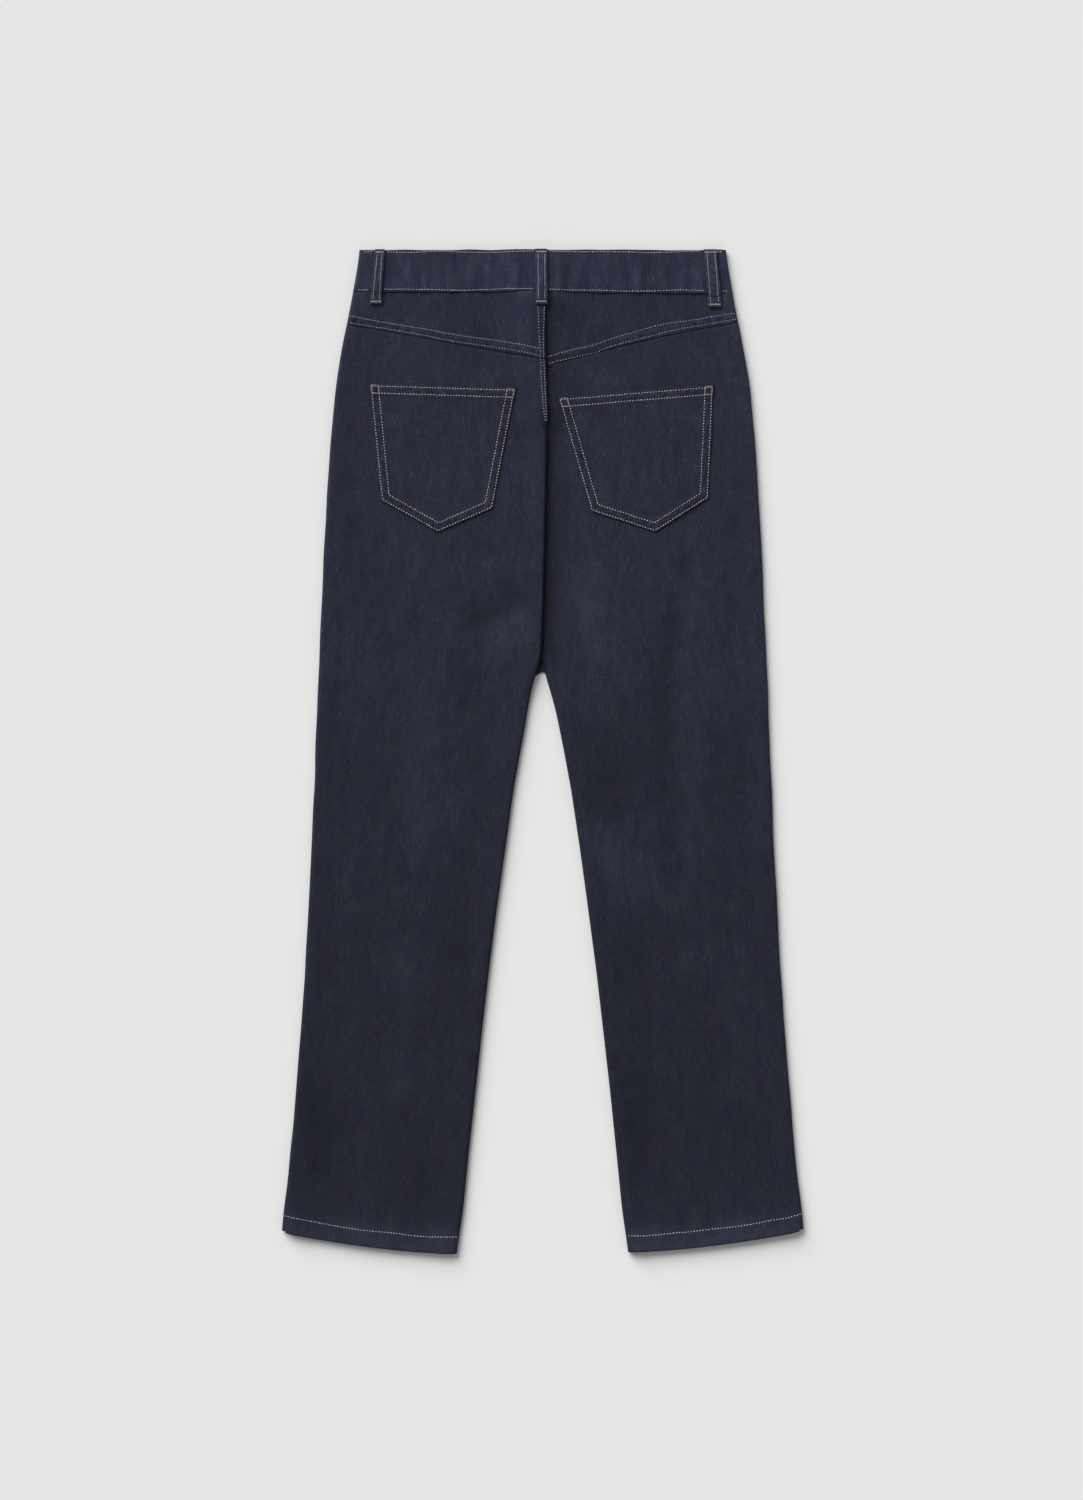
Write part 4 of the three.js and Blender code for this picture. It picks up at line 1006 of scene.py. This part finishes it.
def makePocket(side, name, node, panel):
    c = pocketCorners[side]
    tree = surfaceOf(panel)
    middle = (c["point"][0] - c["lowOut"][0]) / (c["lowIn"][0] - c["lowOut"][0])
    half = pocketSize["across"] // 2
    u = np.concatenate([np.linspace(0, middle, half + 1), np.linspace(middle, 1, half + 1)[1:]])

    def along(k, v):
        top = mix(c["topOut"][k], c["topIn"][k], u)
        outer = mix(c["lowOut"][k], c["point"][k], u / middle)
        inner = mix(c["point"][k], c["lowIn"][k], (u - middle) / (1 - middle))
        return mix(top, np.where(u <= middle, outer, inner), v)

    grid, wearAndShade, colourGain = [], [], []
    for v in np.linspace(0, 1, pocketSize["down"] + 1):
        v = mix(v, 0.5 - 0.5 * math.cos(math.pi * v), 0.35)
        x, y = along(0, v), along(1, v)
        top = lineAway(c["topOut"], c["topIn"], x, y)
        ends = (("topOut", "lowOut"), ("topIn", "lowIn"), ("lowOut", "point"), ("point", "lowIn"))
        sewn = np.min([lineAway(c[p], c[q], x, y) for p, q in ends], axis=0)
        z = np.array([heightOf(tree, px, py, otherwise=0.0) for px, py in zip(x, y)]) - cloth["lift"]
        z = z + pocketSize["clear"] + cloth["wall"]
        z = z + pocketSize["sideRise"] * (1 - smooth((sewn - 9.6) / 1.6)) * smooth(sewn / 0.8)
        z = z + pocketSize["hemRise"] * (1 - smooth((top - pocketSize["hem"]) / 1.2))
        z = z + pocketSize["bulge"] * smooth((sewn - 10) / 26) * smooth((top + 6) / 20)
        strip = 0.0
        for away, kind in ((sewn, "side"), (top, "top")):
            row1, row2 = pocketSize[kind + "1"], pocketSize[kind + "2"]
            z = z - pocketSize["rowSink"] * (bell(away - row1, 0.9) + bell(away - row2, 0.9))
            strip = np.maximum(strip, stripShare(away, row1, row2))
        relief = pocketSize["cloth"] * clothRipple(x + 40, y) + pocketSize["small"] * smallRipple(x, y + 9)
        relief = relief + gathers("pocketTop", x, top - 12) + gathers("pocketSide", y + x, sewn - 10)
        z = z + relief * smooth(sewn / 3) - pocketSize["edgeSink"] * (1 - smooth(sewn))
        x = x + np.where(sewn < 0.4, 0.25, 0.1) * seamNoise(y * 0.5, x)
        y = y + np.where(top < 0.4, 0.3, 0.1) * seamNoise(x * 0.45, 12.0)
        grid.append(gridRow(x, y, z))
        wearAndShade.append(relief + 0.3 * np.exp(-sewn / 1.2) + 0.25 * np.exp(-top / 1.2))
        darker = 0.06 * (1 - smooth((sewn - 9) / 5)) * (1 - strip)
        colourGain.append(1 + strip * rubbed((x + y) * 2.4, (x - y) * 2.0) - darker)
    clothPiece(name, grid, cloth["wall"], "pocketDenim", node, wearAndShade, colourGain, rim=0.25)


makePocket(-1, "pocketLeft", "pocket_back_left", "backLegLeft")
makePocket(1, "pocketRight", "pocket_back_right", "backLegRight")
print("pockets made")

# Belt loops, bowed over the band; x1 and width1 at the top, x2 and width2 at the low end
loopSpecs = [
    {"name": "loopBack", "node": "loop_back", "x1": -1.2, "x2": -1.2,
     "width1": 11.7, "width2": 11.7, "low": 435.6},
    {"name": "loopSideLeft", "node": "loop_side_left", "x1": -158.7, "x2": -163.0,
     "width1": 9.6, "width2": 11.6, "low": 436.6},
    {"name": "loopSideRight", "node": "loop_side_right", "x1": 163.7, "x2": 168.0,
     "width1": 13.0, "width2": 13.0, "low": 433.8},
]
loopSize = {"rows": 64, "across": 14, "high": 1.25, "overhang": 0.4, "clear": 0.3, "edgeSink": 0.30,
            "rowIn": 2.5, "rowSink": 0.22, "endSink": 0.30, "frontHalf": 5.5, "frontDown": 12}


# The middle and half width of a loop at a share of its length, from the top
def loopAt(spec, t):
    return mix(spec["x1"], spec["x2"], t), mix(spec["width1"], spec["width2"], t) / 2


def makeBackLoop(spec):
    tree = surfaceOf("waistbandCloth", "yokeLeft", "yokeRight")
    across = np.linspace(-1, 1, loopSize["across"] + 1)
    grid, wearAndShade, colourGain = [], [], []
    for t in np.linspace(0, 1, loopSize["rows"] + 1):
        y = mix(topY + loopSize["overhang"], spec["low"], t)
        x, half = loopAt(spec, t)
        spots = [(x + dx, min(topY - 0.2, y + dy)) for dx in (-half, 0, half) for dy in (-3, -1.5, 0, 1.5, 3)]
        below = max(heightOf(tree, *spot, otherwise=0.0) for spot in spots)
        bow = math.sin(math.pi * min(1, max(0, (topY - y) / (topY - bandY)))) * loopSize["high"]
        away = (1 - np.abs(across)) * half
        z = below - cloth["lift"] + loopSize["clear"] + max(0, bow) + cloth["loop"]
        z = z - loopSize["edgeSink"] * (1 - smooth(away / 0.9))
        z = z - loopSize["rowSink"] * bell(away - loopSize["rowIn"], 0.7)
        z = z + 0.05 * smallRipple(x + across * half, y)
        ends = min(abs(topY - 3 - y), abs(spec["low"] + 3.4 - y))
        z = z - loopSize["endSink"] * math.exp(-(ends / 1.1) ** 2)
        wobble = 0.18 * float(seamNoise(y * 0.6, spec["x1"]))
        grid.append(gridRow(x + across * half + wobble, y, z))
        wearAndShade.append(0.9 * (1 - smooth(away / 1.2)) - 0.2)
        colourGain.append(1.12 + 0.42 * np.clip(seamNoise(across * half * 3.4, y * 3.0 + spec["x1"]), -0.8, 1.4))
    clothPiece(spec["name"], grid, cloth["loop"], "bandDenim", spec["node"],
               wearAndShade, colourGain, rim=0.25)


def makeFrontLoop(side, name, node):
    drop = shape["dip"] * (1 - (loopFrontX / 180) ** 2)
    across = np.linspace(-1, 1, 11)
    x = side * loopFrontX + across * loopSize["frontHalf"]
    ys = np.linspace(topY - drop, bandY - drop - loopSize["frontDown"], 50)
    grid = [gridRow(x, y, 0.22 * np.abs(across) ** 6) for y in ys]
    clothPiece(name, grid, cloth["loop"], "bandDenim", node, facing="down")


for spec in loopSpecs:
    makeBackLoop(spec)
makeFrontLoop(-1, "loopFrontLeft", "loop_front_left")
makeFrontLoop(1, "loopFrontRight", "loop_front_right")
print("loops made")

# Fly zip: two tapes edge to edge, with a raised row of teeth along the middle
zipSize = {
    "x": -2.0, "tape": 0.6, "rise": 0.3, "riseHalf": 3.2, "rows": 60, "pitch": 2.1,
    "tooth": (3.4, 1.05, 1.05), "toothEnd": (1, 0.62, 0.8), "toothSoft": 0.16, "toothOut": 0.85,
    "aboveTeeth": 14, "belowTeeth": 4,
    "offsets": (0.25, 1.4, 2.8, 3.4, 4.4, 6.6, 9, 11.2, 12.0),
}
zipTop, zipLow = boxOf("zip_tape")[1][1], boxOf("zip_tape")[0][1]


def zipHeight(x, y):
    return frontLift(x, y) + 2 * (cloth["wall"] + cloth["gap"])


def makeZipTape():
    offsets = np.array([-v for v in zipSize["offsets"][::-1]] + list(zipSize["offsets"]))
    bead = zipSize["rise"] * (np.abs(offsets) < zipSize["riseHalf"]) + 0.03 * np.sin(offsets * 2.2)
    x = zipSize["x"] + offsets
    ys = np.linspace(zipTop, zipLow, zipSize["rows"])
    grid = [gridRow(x, y, zipHeight(x, y) + zipSize["tape"] + bead) for y in ys]
    clothPiece("zipTapeCloth", grid, zipSize["tape"], "zipCloth", "zip_tape")


# Selects the faces that pass a test and goes into edit mode with them
def editFaces(piece, test):
    for p in piece.data.polygons:
        p.select = bool(test(p))
    bpy.ops.object.mode_set(mode="EDIT")
    bpy.ops.mesh.select_mode(type="FACE")


def addBlock(size, place):
    bpy.ops.object.select_all(action="DESELECT")
    bpy.ops.mesh.primitive_cube_add(size=1, location=(0, 0, 0))
    block = bpy.context.active_object
    block.scale, block.location = size, place
    bpy.ops.object.transform_apply(location=True, rotation=True, scale=True)
    return block


# The points and faces of a small shape that is copied many times; the shape itself goes
def takeShape(piece):
    mesh = piece.data
    points, faces = np.array([v.co for v in mesh.vertices]), [tuple(p.vertices) for p in mesh.polygons]
    bpy.data.objects.remove(piece)
    bpy.data.meshes.remove(mesh)
    return points, faces


# One tooth, a softened block with a narrowed inner end; copies of it make the row
def makeToothShape():
    tooth = addBlock(zipSize["tooth"], (0, 0, 0))
    editFaces(tooth, lambda p: p.normal.x > 0.9)
    bpy.ops.transform.resize(value=zipSize["toothEnd"], center_override=(0, 0, 0))
    bpy.ops.object.mode_set(mode="OBJECT")
    applyBevel(tooth, zipSize["toothSoft"], 1)
    return takeShape(tooth)


def makeTeeth():
    tooth, toothFaces = makeToothShape()
    verts, faces = [], []
    y, side = zipTop - zipSize["aboveTeeth"], 1
    while y > zipLow + zipSize["belowTeeth"]:
        z = zipHeight(zipSize["x"], y) + zipSize["tape"] + zipSize["tooth"][2] / 2 - 0.1 + cloth["lift"]
        start = len(verts) * len(tooth)
        x = zipSize["x"] + side * zipSize["toothOut"]
        verts.append(tooth * np.array([-side, 1, 1]) + np.array([x, y, z]))
        faces.extend([tuple(start + v for v in (face if side < 0 else face[::-1])) for face in toothFaces])
        y -= zipSize["pitch"] / 2
        side = -side
    finishPiece(linkMesh("zipTeeth", np.concatenate(verts), faces), "zipTeeth", "metal")


makeZipTape()
makeTeeth()
print("zip made")

# Zip slider: a waisted body, a crown over it, a link and a pull tab with a slot. Each block has its
# size, how far its middle lies below the slider's top end and above its base, and its softening
sliderTop = boxOf("zip_slider")[1][1]
sliderSize = {
    "body": {"size": (9.2, 10.2, 1.5), "down": 5.4, "up": 0.75, "soft": 0.32, "neck": 0.66},
    "crown": {"size": (2.6, 7.0, 1.0), "down": 5.6, "up": 1.6, "soft": 0.45},
    "tab": {"size": (5.8, 21.0, 0.95), "down": 22.1, "up": 0.55, "soft": 0.2, "neck": 0.62, "slot": 1.3},
    "link": {"size": (1.5, 3.4, 0.9), "down": 11.3, "up": 0.65, "soft": 0.3},
}


def makeSlider():
    parts = []
    for key, spec in sliderSize.items():
        x, y = zipSize["x"], sliderTop - spec["down"]
        restY = sliderTop - sliderSize["tab"]["down"] if key in ("tab", "link") else sliderTop - 8
        base = zipHeight(x, restY) + zipSize["tape"] + 1.25 + cloth["lift"]
        block = addBlock([v * mm for v in spec["size"]], [v * mm for v in (x, y, base + spec["up"])])
        if "neck" in spec:
            editFaces(block, lambda p: p.normal.y > 0.9)
            bpy.ops.transform.resize(value=(spec["neck"], 1, 1), center_override=(x * mm, 0, 0))
            bpy.ops.object.mode_set(mode="OBJECT")
        if "slot" in spec:
            editFaces(block, lambda p: abs(p.normal.z) > 0.9)
            bpy.ops.mesh.inset(thickness=spec["slot"] * mm)
            bpy.ops.mesh.bridge_edge_loops()
            bpy.ops.object.mode_set(mode="OBJECT")
        applyBevel(block, spec["soft"] * mm, 2 if key == "tab" else 3)
        smoothShade(block)
        parts.append(block)
    bpy.ops.object.select_all(action="DESELECT")
    for part in parts:
        part.select_set(True)
    bpy.context.view_layer.objects.active = parts[0]
    bpy.ops.object.join()
    finishPiece(parts[0], "sliderMetal", "metal", ["zip_slider"])


# Button: a domed head with a sunk ring, and a shank up to the band
buttonLow, buttonHigh = boxOf("button")
buttonSize = {"ring": 1.5, "ringDepth": 0.4, "dome": 1.3, "domeRise": 0.35, "middle": 2.2, "head": 2.0,
              "shank": 3.7, "shankEnd": 0.8, "soft": 0.2, "sides": 48}


def insetAndMove(inset, rise):
    bpy.ops.mesh.inset(thickness=inset * mm)
    bpy.ops.mesh.extrude_region_move(TRANSFORM_OT_translate={"value": (0, 0, rise * mm)})


def makeButton():
    x, y = (buttonLow[0] + buttonHigh[0]) / 2, (buttonLow[1] + buttonHigh[1]) / 2
    radius, low = (buttonHigh[0] - buttonLow[0]) / 2, buttonLow[2] + cloth["lift"]
    high = low + buttonSize["head"]
    bpy.ops.object.select_all(action="DESELECT")
    bpy.ops.mesh.primitive_cylinder_add(
        vertices=buttonSize["sides"], radius=radius * mm, depth=buttonSize["head"] * mm,
        location=(x * mm, y * mm, (low + buttonSize["head"] / 2) * mm))
    head = bpy.context.active_object
    bpy.ops.object.transform_apply(location=True, rotation=True, scale=True)
    editFaces(head, lambda p: p.normal.z < -0.9)
    insetAndMove(buttonSize["ring"], buttonSize["ringDepth"])
    insetAndMove(buttonSize["dome"], -buttonSize["domeRise"])
    bpy.ops.mesh.inset(thickness=buttonSize["middle"] * mm)
    bpy.ops.mesh.select_all(action="DESELECT")
    bpy.ops.object.mode_set(mode="OBJECT")
    editFaces(head, lambda p: p.normal.z > 0.9 and p.center.z > (high - 0.1) * mm)
    insetAndMove(radius - buttonSize["shank"], buttonHigh[2] + cloth["lift"] - high)
    bpy.ops.mesh.inset(thickness=buttonSize["shankEnd"] * mm)
    bpy.ops.mesh.select_all(action="SELECT")
    bpy.ops.mesh.normals_make_consistent(inside=False)
    bpy.ops.object.mode_set(mode="OBJECT")
    applyBevel(head, buttonSize["soft"] * mm, 3)
    smoothShade(head)
    finishPiece(head, "buttonMetal", "metal", ["button"])


makeSlider()
makeButton()
print("button and slider made")

# Sewing: sizes of a stitch, with the spread of its length, place and turn from one to the next
stitchSize = {"length": 1.48, "width": 0.86, "height": 0.55, "pitch": 2.8, "sink": 0.03, "reach": 0.42,
              "bow": 0.55, "spread": 0.10, "shift": 0.09, "turn": 0.07, "slope": 1.6}
tackSize = {"pitch": 0.62, "gauge": 0.62, "height": 0.6, "lean": 0.16, "sag": 0.10, "up": 0.12}


# One stitch: a short rope of thread, bowed down at both ends
def makeStitchShape():
    bpy.ops.object.select_all(action="DESELECT")
    bpy.ops.mesh.primitive_uv_sphere_add(segments=7, ring_count=5, radius=0.5, location=(0, 0, 0))
    rope = bpy.context.active_object
    bpy.ops.object.mode_set(mode="EDIT")
    bpy.ops.mesh.select_all(action="SELECT")
    bpy.ops.transform.rotate(value=math.pi / 2, orient_axis="Y", center_override=(0, 0, 0))
    bpy.ops.object.mode_set(mode="OBJECT")
    co, faces = takeShape(rope)
    co[:, 2] -= stitchSize["bow"] * co[:, 0] ** 2
    return co, faces


stitchPoints, stitchFaces = makeStitchShape()
sewing = {}


# Adds stitches to a sewing piece: each place is its centre, the way along the thread, and up
def addStitches(name, places, length, width, height):
    store = sewing.setdefault(name, {"points": [], "faces": []})
    for centre, along, up in places:
        along = along / np.linalg.norm(along)
        across = np.cross(up, along)
        across = across / np.linalg.norm(across)
        size = 1 + stitchSize["spread"] * rng.standard_normal()
        shaped = stitchPoints * np.array([length * size, width, height])
        start = len(store["points"]) * len(stitchPoints)
        store["points"].append(shaped @ np.array([along, across, np.cross(along, across)]) + centre)
        store["faces"].extend([tuple(start + v for v in face) for face in stitchFaces])


def finishSewing(name, finish):
    store = sewing[name]
    piece = linkMesh(name, np.concatenate(store["points"]), store["faces"])
    smoothShade(piece)
    finishPiece(piece, name, finish)
    print(name, len(store["points"]), "stitches", len(store["faces"]), "faces")


# Evenly spaced points on a smooth line through the given points, and the way along it at each
def evenly(route, pitch):
    route = np.array(route, float)
    if len(route) > 2:
        dense = np.linspace(0, len(route) - 1, 14 * len(route))
        k = np.clip(dense.astype(int), 0, len(route) - 2)
        f = (dense - k)[:, None]
        p0, p1, p2, p3 = (route[np.clip(k + i, 0, len(route) - 1)] for i in (-1, 0, 1, 2))
        bend = (2 * p0 - 5 * p1 + 4 * p2 - p3) * f ** 2 + (3 * p1 - p0 - 3 * p2 + p3) * f ** 3
        route = 0.5 * (2 * p1 + (p2 - p0) * f + bend)
    total = np.concatenate([[0], np.cumsum(np.hypot(*np.diff(route, axis=0).T))])
    count = max(1, round(total[-1] / pitch))
    at = (np.arange(count) + 0.5) * total[-1] / count

    def place(where):
        return np.stack([np.interp(where, total, route[:, k]) for k in (0, 1)], axis=-1)
    return place(at), place(at + 0.2) - place(at - 0.2)


def sewRow(name, tree, route, pitch=stitchSize["pitch"], under=False, length=stitchSize["length"],
           width=stitchSize["width"], height=stitchSize["height"]):
    places, sign, half = [], (-1 if under else 1), length * stitchSize["reach"]
    for (x, y), way in zip(*evenly(route, pitch)):
        x, y = (v + stitchSize["shift"] * rng.standard_normal() for v in (x, y))
        way = way / math.hypot(*way)
        turn = stitchSize["turn"] * rng.standard_normal()
        way = np.array([way[0] - turn * way[1], way[1] + turn * way[0]])
        z0, z1 = (heightOf(tree, x + s * way[0] * half, y + s * way[1] * half, under) for s in (-1, 1))
        if z0 is None or z1 is None or abs(z1 - z0) > stitchSize["slope"]:
            continue
        along = np.array([way[0] * half * 2, way[1] * half * 2, z1 - z0])
        centre = np.array([x, y, (z0 + z1) / 2 + sign * stitchSize["sink"]])
        places.append((centre, along, np.array([0, 0, float(sign)])))
    addStitches(name, places, length, width, height)


# A bar tack: threads lying close together across a short line
def sewTack(name, tree, start, end, wide=1.8, under=False, pitch=tackSize["pitch"], gauge=tackSize["gauge"]):
    places, sign = [], -1 if under else 1
    for i, ((x, y), way) in enumerate(zip(*evenly([start, end], pitch))):
        way = way / math.hypot(*way)
        lean = tackSize["lean"] if i % 2 else -tackSize["lean"]
        across = np.array([-way[1] + lean * way[0], way[0] + lean * way[1]])
        z = heightOf(tree, x, y, under)
        if z is None:
            continue
        sag = tackSize["sag"] * rng.standard_normal()
        centre = np.array([x + across[0] * sag, y + across[1] * sag, z + sign * tackSize["up"]])
        places.append((centre, np.array([*across, 0.0]), np.array([0, 0, float(sign)])))
    addStitches(name, places, wide, gauge, tackSize["height"])


frontNames = [n for n in pieces if n.startswith("front") or n.startswith("loopFront")]
backTree = surfaceOf(*[n for n in pieces if n not in frontNames])
frontTree = surfaceOf(*[n for n in pieces if n in frontNames or n == "waistbandCloth"])
# Band rows with their heights and the stretches that the loops cover
bandRows = {
    "top": {"y": topY - 2.1, "covered": (-166, -152, -8.5, 6.2, 154, 170)},
    "low": {"y": bandY + 2.2, "covered": (-170.5, -155, -8.5, 6.2, 158, 172)},
}
# Yoke seams have two rows on each side. The seat's two rows end where the roll begins
yokeRows = [
    [(-189.1, 425.9), (-160.4, 420.0), (-115.9, 412.7), (-85.9, 407.1), (-50.1, 402.0), (-22.2, 397.5),
     (-2.8, 392.8)],
    [(-191.2, 418.9), (-160.4, 414.1), (-118.9, 407.1), (-93.0, 401.6), (-50.1, 395.2), (-22.2, 390.6),
     (-2.4, 385.8)],
    [(4.3, 385.3), (30.5, 392.7), (49.0, 396.9), (67.7, 403.4), (87.8, 409.1), (116.4, 417.0),
     (145.1, 421.3), (175.2, 426.4), (188.0, 427.7)],
    [(5.2, 378.8), (30.5, 384.8), (52.0, 389.8), (67.7, 396.0), (102.1, 404.8), (130.7, 412.0),
     (159.4, 417.0), (189.4, 422.1)],
]
seatLines = [
    [(-4.7, 434.0), (-3.8, 414.0), (-2.2, 388.0), (-1.6, 370.0), (-1.2, 358.0), (0.2, 340.0), (1.5, 330.0),
     (2.6, 322.0)],
    [(1.7, 434.0), (1.0, 414.0), (0.5, 398.0), (0.9, 385.0), (1.7, 370.0), (2.4, 352.0), (3.3, 336.0),
     (3.9, 322.0)],
]


def sewBack():
    for key, row in bandRows.items():
        half = float(outerAt(row["y"])) - 4.5
        ends = [-half, *row["covered"], half]
        for x1, x2 in zip(ends[::2], ends[1::2]):
            xs = np.linspace(x1, x2, max(2, int((x2 - x1) / 22)) + 1)
            wave = 0.35 * seamNoise(xs * 0.35, row["y"])
            drop = bandDrop(xs) if key == "low" else 0
            sewRow("sewingBand", backTree, list(zip(xs, row["y"] + wave - drop)), pitch=2.75)
    for row in yokeRows:
        sewRow("sewingYoke", backTree, row)
    for row in seatLines:
        sewRow("sewingSeat", backTree, row)


# The point inside corner q at d1 from the line p-q and d2 from the line q-r
def cornerInside(p, q, r, d1, d2):
    u, v = (q - p) / np.linalg.norm(q - p), (r - q) / np.linalg.norm(r - q)
    turn = 1.0 if u[0] * v[1] - u[1] * v[0] > 0 else -1.0
    normals = turn * np.array([[-u[1], u[0]], [-v[1], v[0]]])
    return q + np.linalg.solve(normals, np.array([d1, d2]))


def sewPocket(side, name, pocket):
    tree = surfaceOf(pocket)
    names = ("topIn", "topOut", "lowOut", "point", "lowIn", "topIn", "topOut")
    ring = [np.array(pocketCorners[side][key]) for key in names]
    top1, top2, side1, side2 = (pocketSize[key] for key in ("top1", "top2", "side1", "side2"))
    for inward in (side1, side2):
        insets = (top1 + 0.2, inward, inward, inward, inward, top1 + 0.2)
        stops = [cornerInside(*ring[i:i + 3], *insets[i:i + 2]) for i in range(5)]
        for p, q in zip(stops[:-1], stops[1:]):
            sewRow(name, tree, [p, q])
    for down in (top1, top2):
        sewRow(name, tree, [cornerInside(*ring[0:3], down, side1), cornerInside(*ring[4:7], side1, down)])
    for corner in (ring[0:3], ring[4:7][::-1]):
        box = [cornerInside(*corner, d1, d2) for d1, d2 in ((1.5, 1.5), (1.5, 8.4), (9.4, 8.4), (9.4, 1.5))]
        for i in range(4):
            sewTack("tacksPockets", tree, box[i], box[(i + 1) % 4], wide=1.35, pitch=0.95, gauge=0.6)


def sewLoops():
    for spec in loopSpecs:
        tree = surfaceOf(spec["name"])

        def along(y, sign, inward):
            topEnd = topY + loopSize["overhang"]
            x, half = loopAt(spec, (topEnd - y) / (topEnd - spec["low"]))
            return x + sign * (half - inward), y
        for sign in (-1, 1):
            route = [along(y, sign, 2.6) for y in (topY - 4.5, 455, spec["low"] + 5)]
            sewRow("sewingLoops", tree, route, pitch=2.5, length=1.5, width=0.72)
        for y in (topY - 2.6, spec["low"] + 2.6):
            sewTack("tacksLoops", tree, along(y, -1, 0.7), along(y, 1, 0.7))


def sewHems():
    for side in (-1, 1):
        inner = float(innerAt[side](hemY + 18)) + 1.6
        outer = float(outerAt(hemY + 40)) - 0.2
        a = np.linspace(inner, outer, 12)
        y = hemLine(side, a) + hemSize["band"] + 0.3 * seamNoise(a * 0.4, side * 7.0)
        sewRow("sewingHems", backTree, list(zip(side * a, y)), pitch=2.9)
        a = np.linspace(inner + 10, outer - 13, 12)
        y = hemLine(side, a) + hemSize["band"]
        sewRow("sewingUnderHems", frontTree, list(zip(side * a, y)), pitch=3.0, under=True, height=0.3)


# Rows on the front, which lies face down: band, fly, rise, pocket mouths and loops
def sewFront():
    def dipped(x, y):
        return x, y - float(dipAt(abs(x), y))

    def sew(route, **size):
        sewRow("sewingFront", frontTree, route, under=True, **size)

    beside = loopFrontX + 7
    for y in (bandRows["top"]["y"], bandRows["low"]["y"]):
        reach = float(outerAt(y)) - 7
        ends = (-reach, -beside, -beside + 14, -2, 12, beside - 14, beside, reach)
        for x1, x2 in zip(ends[::2], ends[1::2]):
            xs = np.linspace(x1, x2, max(3, int((x2 - x1) / 16)))
            sew([(x, y - shape["dip"] * max(0, 1 - (x / reach) ** 2)) for x in xs])
    for inward in (0, 6.4):
        curve = [(-34 + inward, bandY - 2), (-34 + inward, 400), (-33.4 + inward, 378),
                 (-29.5 + inward * 0.8, 360 + inward * 0.4), (-20 + inward * 0.5, 346 + inward * 0.8),
                 (-8, 338.5 + inward), (-3, 337 + inward)]
        sew([dipped(x, y) for x, y in curve])
    for x in (-2.2, -8.4):
        sew([(x, y) for y in range(326, 84, -12)])
    for side in (-1, 1):
        for inward in (2.2, 8.6):
            turn = np.linspace(0.03, math.pi / 2 - 0.1, 22)
            a = mouth["outer"] - (mouth["outer"] - mouth["inner"]) * np.cos(turn)
            y = bandY - mouth["depth"] * np.sin(turn)
            a, y = raised({"a": a, "z": y}, inward)
            keep = (a < [float(outerAt(v)) - 14 for v in y]) & (y < bandY - 2)
            sew([(side * p, dipped(p, q)[1]) for p, q in zip(a[keep], y[keep])])
        x, low, high = side * loopFrontX, bandY - 21.8, topY - 9.8
        for across in (-3.1, 3.1):
            sew([(x + across, high - 5), (x + across, low + 6)], pitch=2.5, length=1.5)
        for y in (high - 2.4, low + 3.0):
            sewTack("tacksFront", frontTree, (x - 4.6, y), (x + 4.6, y), under=True)
    sewTack("tacksFront", frontTree, dipped(-3, 341), dipped(-9, 345), under=True)
    for dx in (-9.0, 9.0):
        route = [(zipSize["x"] + dx, y) for y in (430, 400, 370, 340)]
        sewRow("sewingFront", surfaceOf("zipTapeCloth"), route, pitch=2.6)


sewBack()
sewFront()
sewPocket(-1, "sewingPocketLeft", "pocketLeft")
sewPocket(1, "sewingPocketRight", "pocketRight")
sewLoops()
sewHems()
for name in sewing:
    # The yoke and seat rows are sewn in a dimmer thread
    toned = name in ("sewingYoke", "sewingSeat")
    finishSewing(name, "tanThread" if name.startswith("tacks") else "dimThread" if toned else "thread")
print("sewing made")
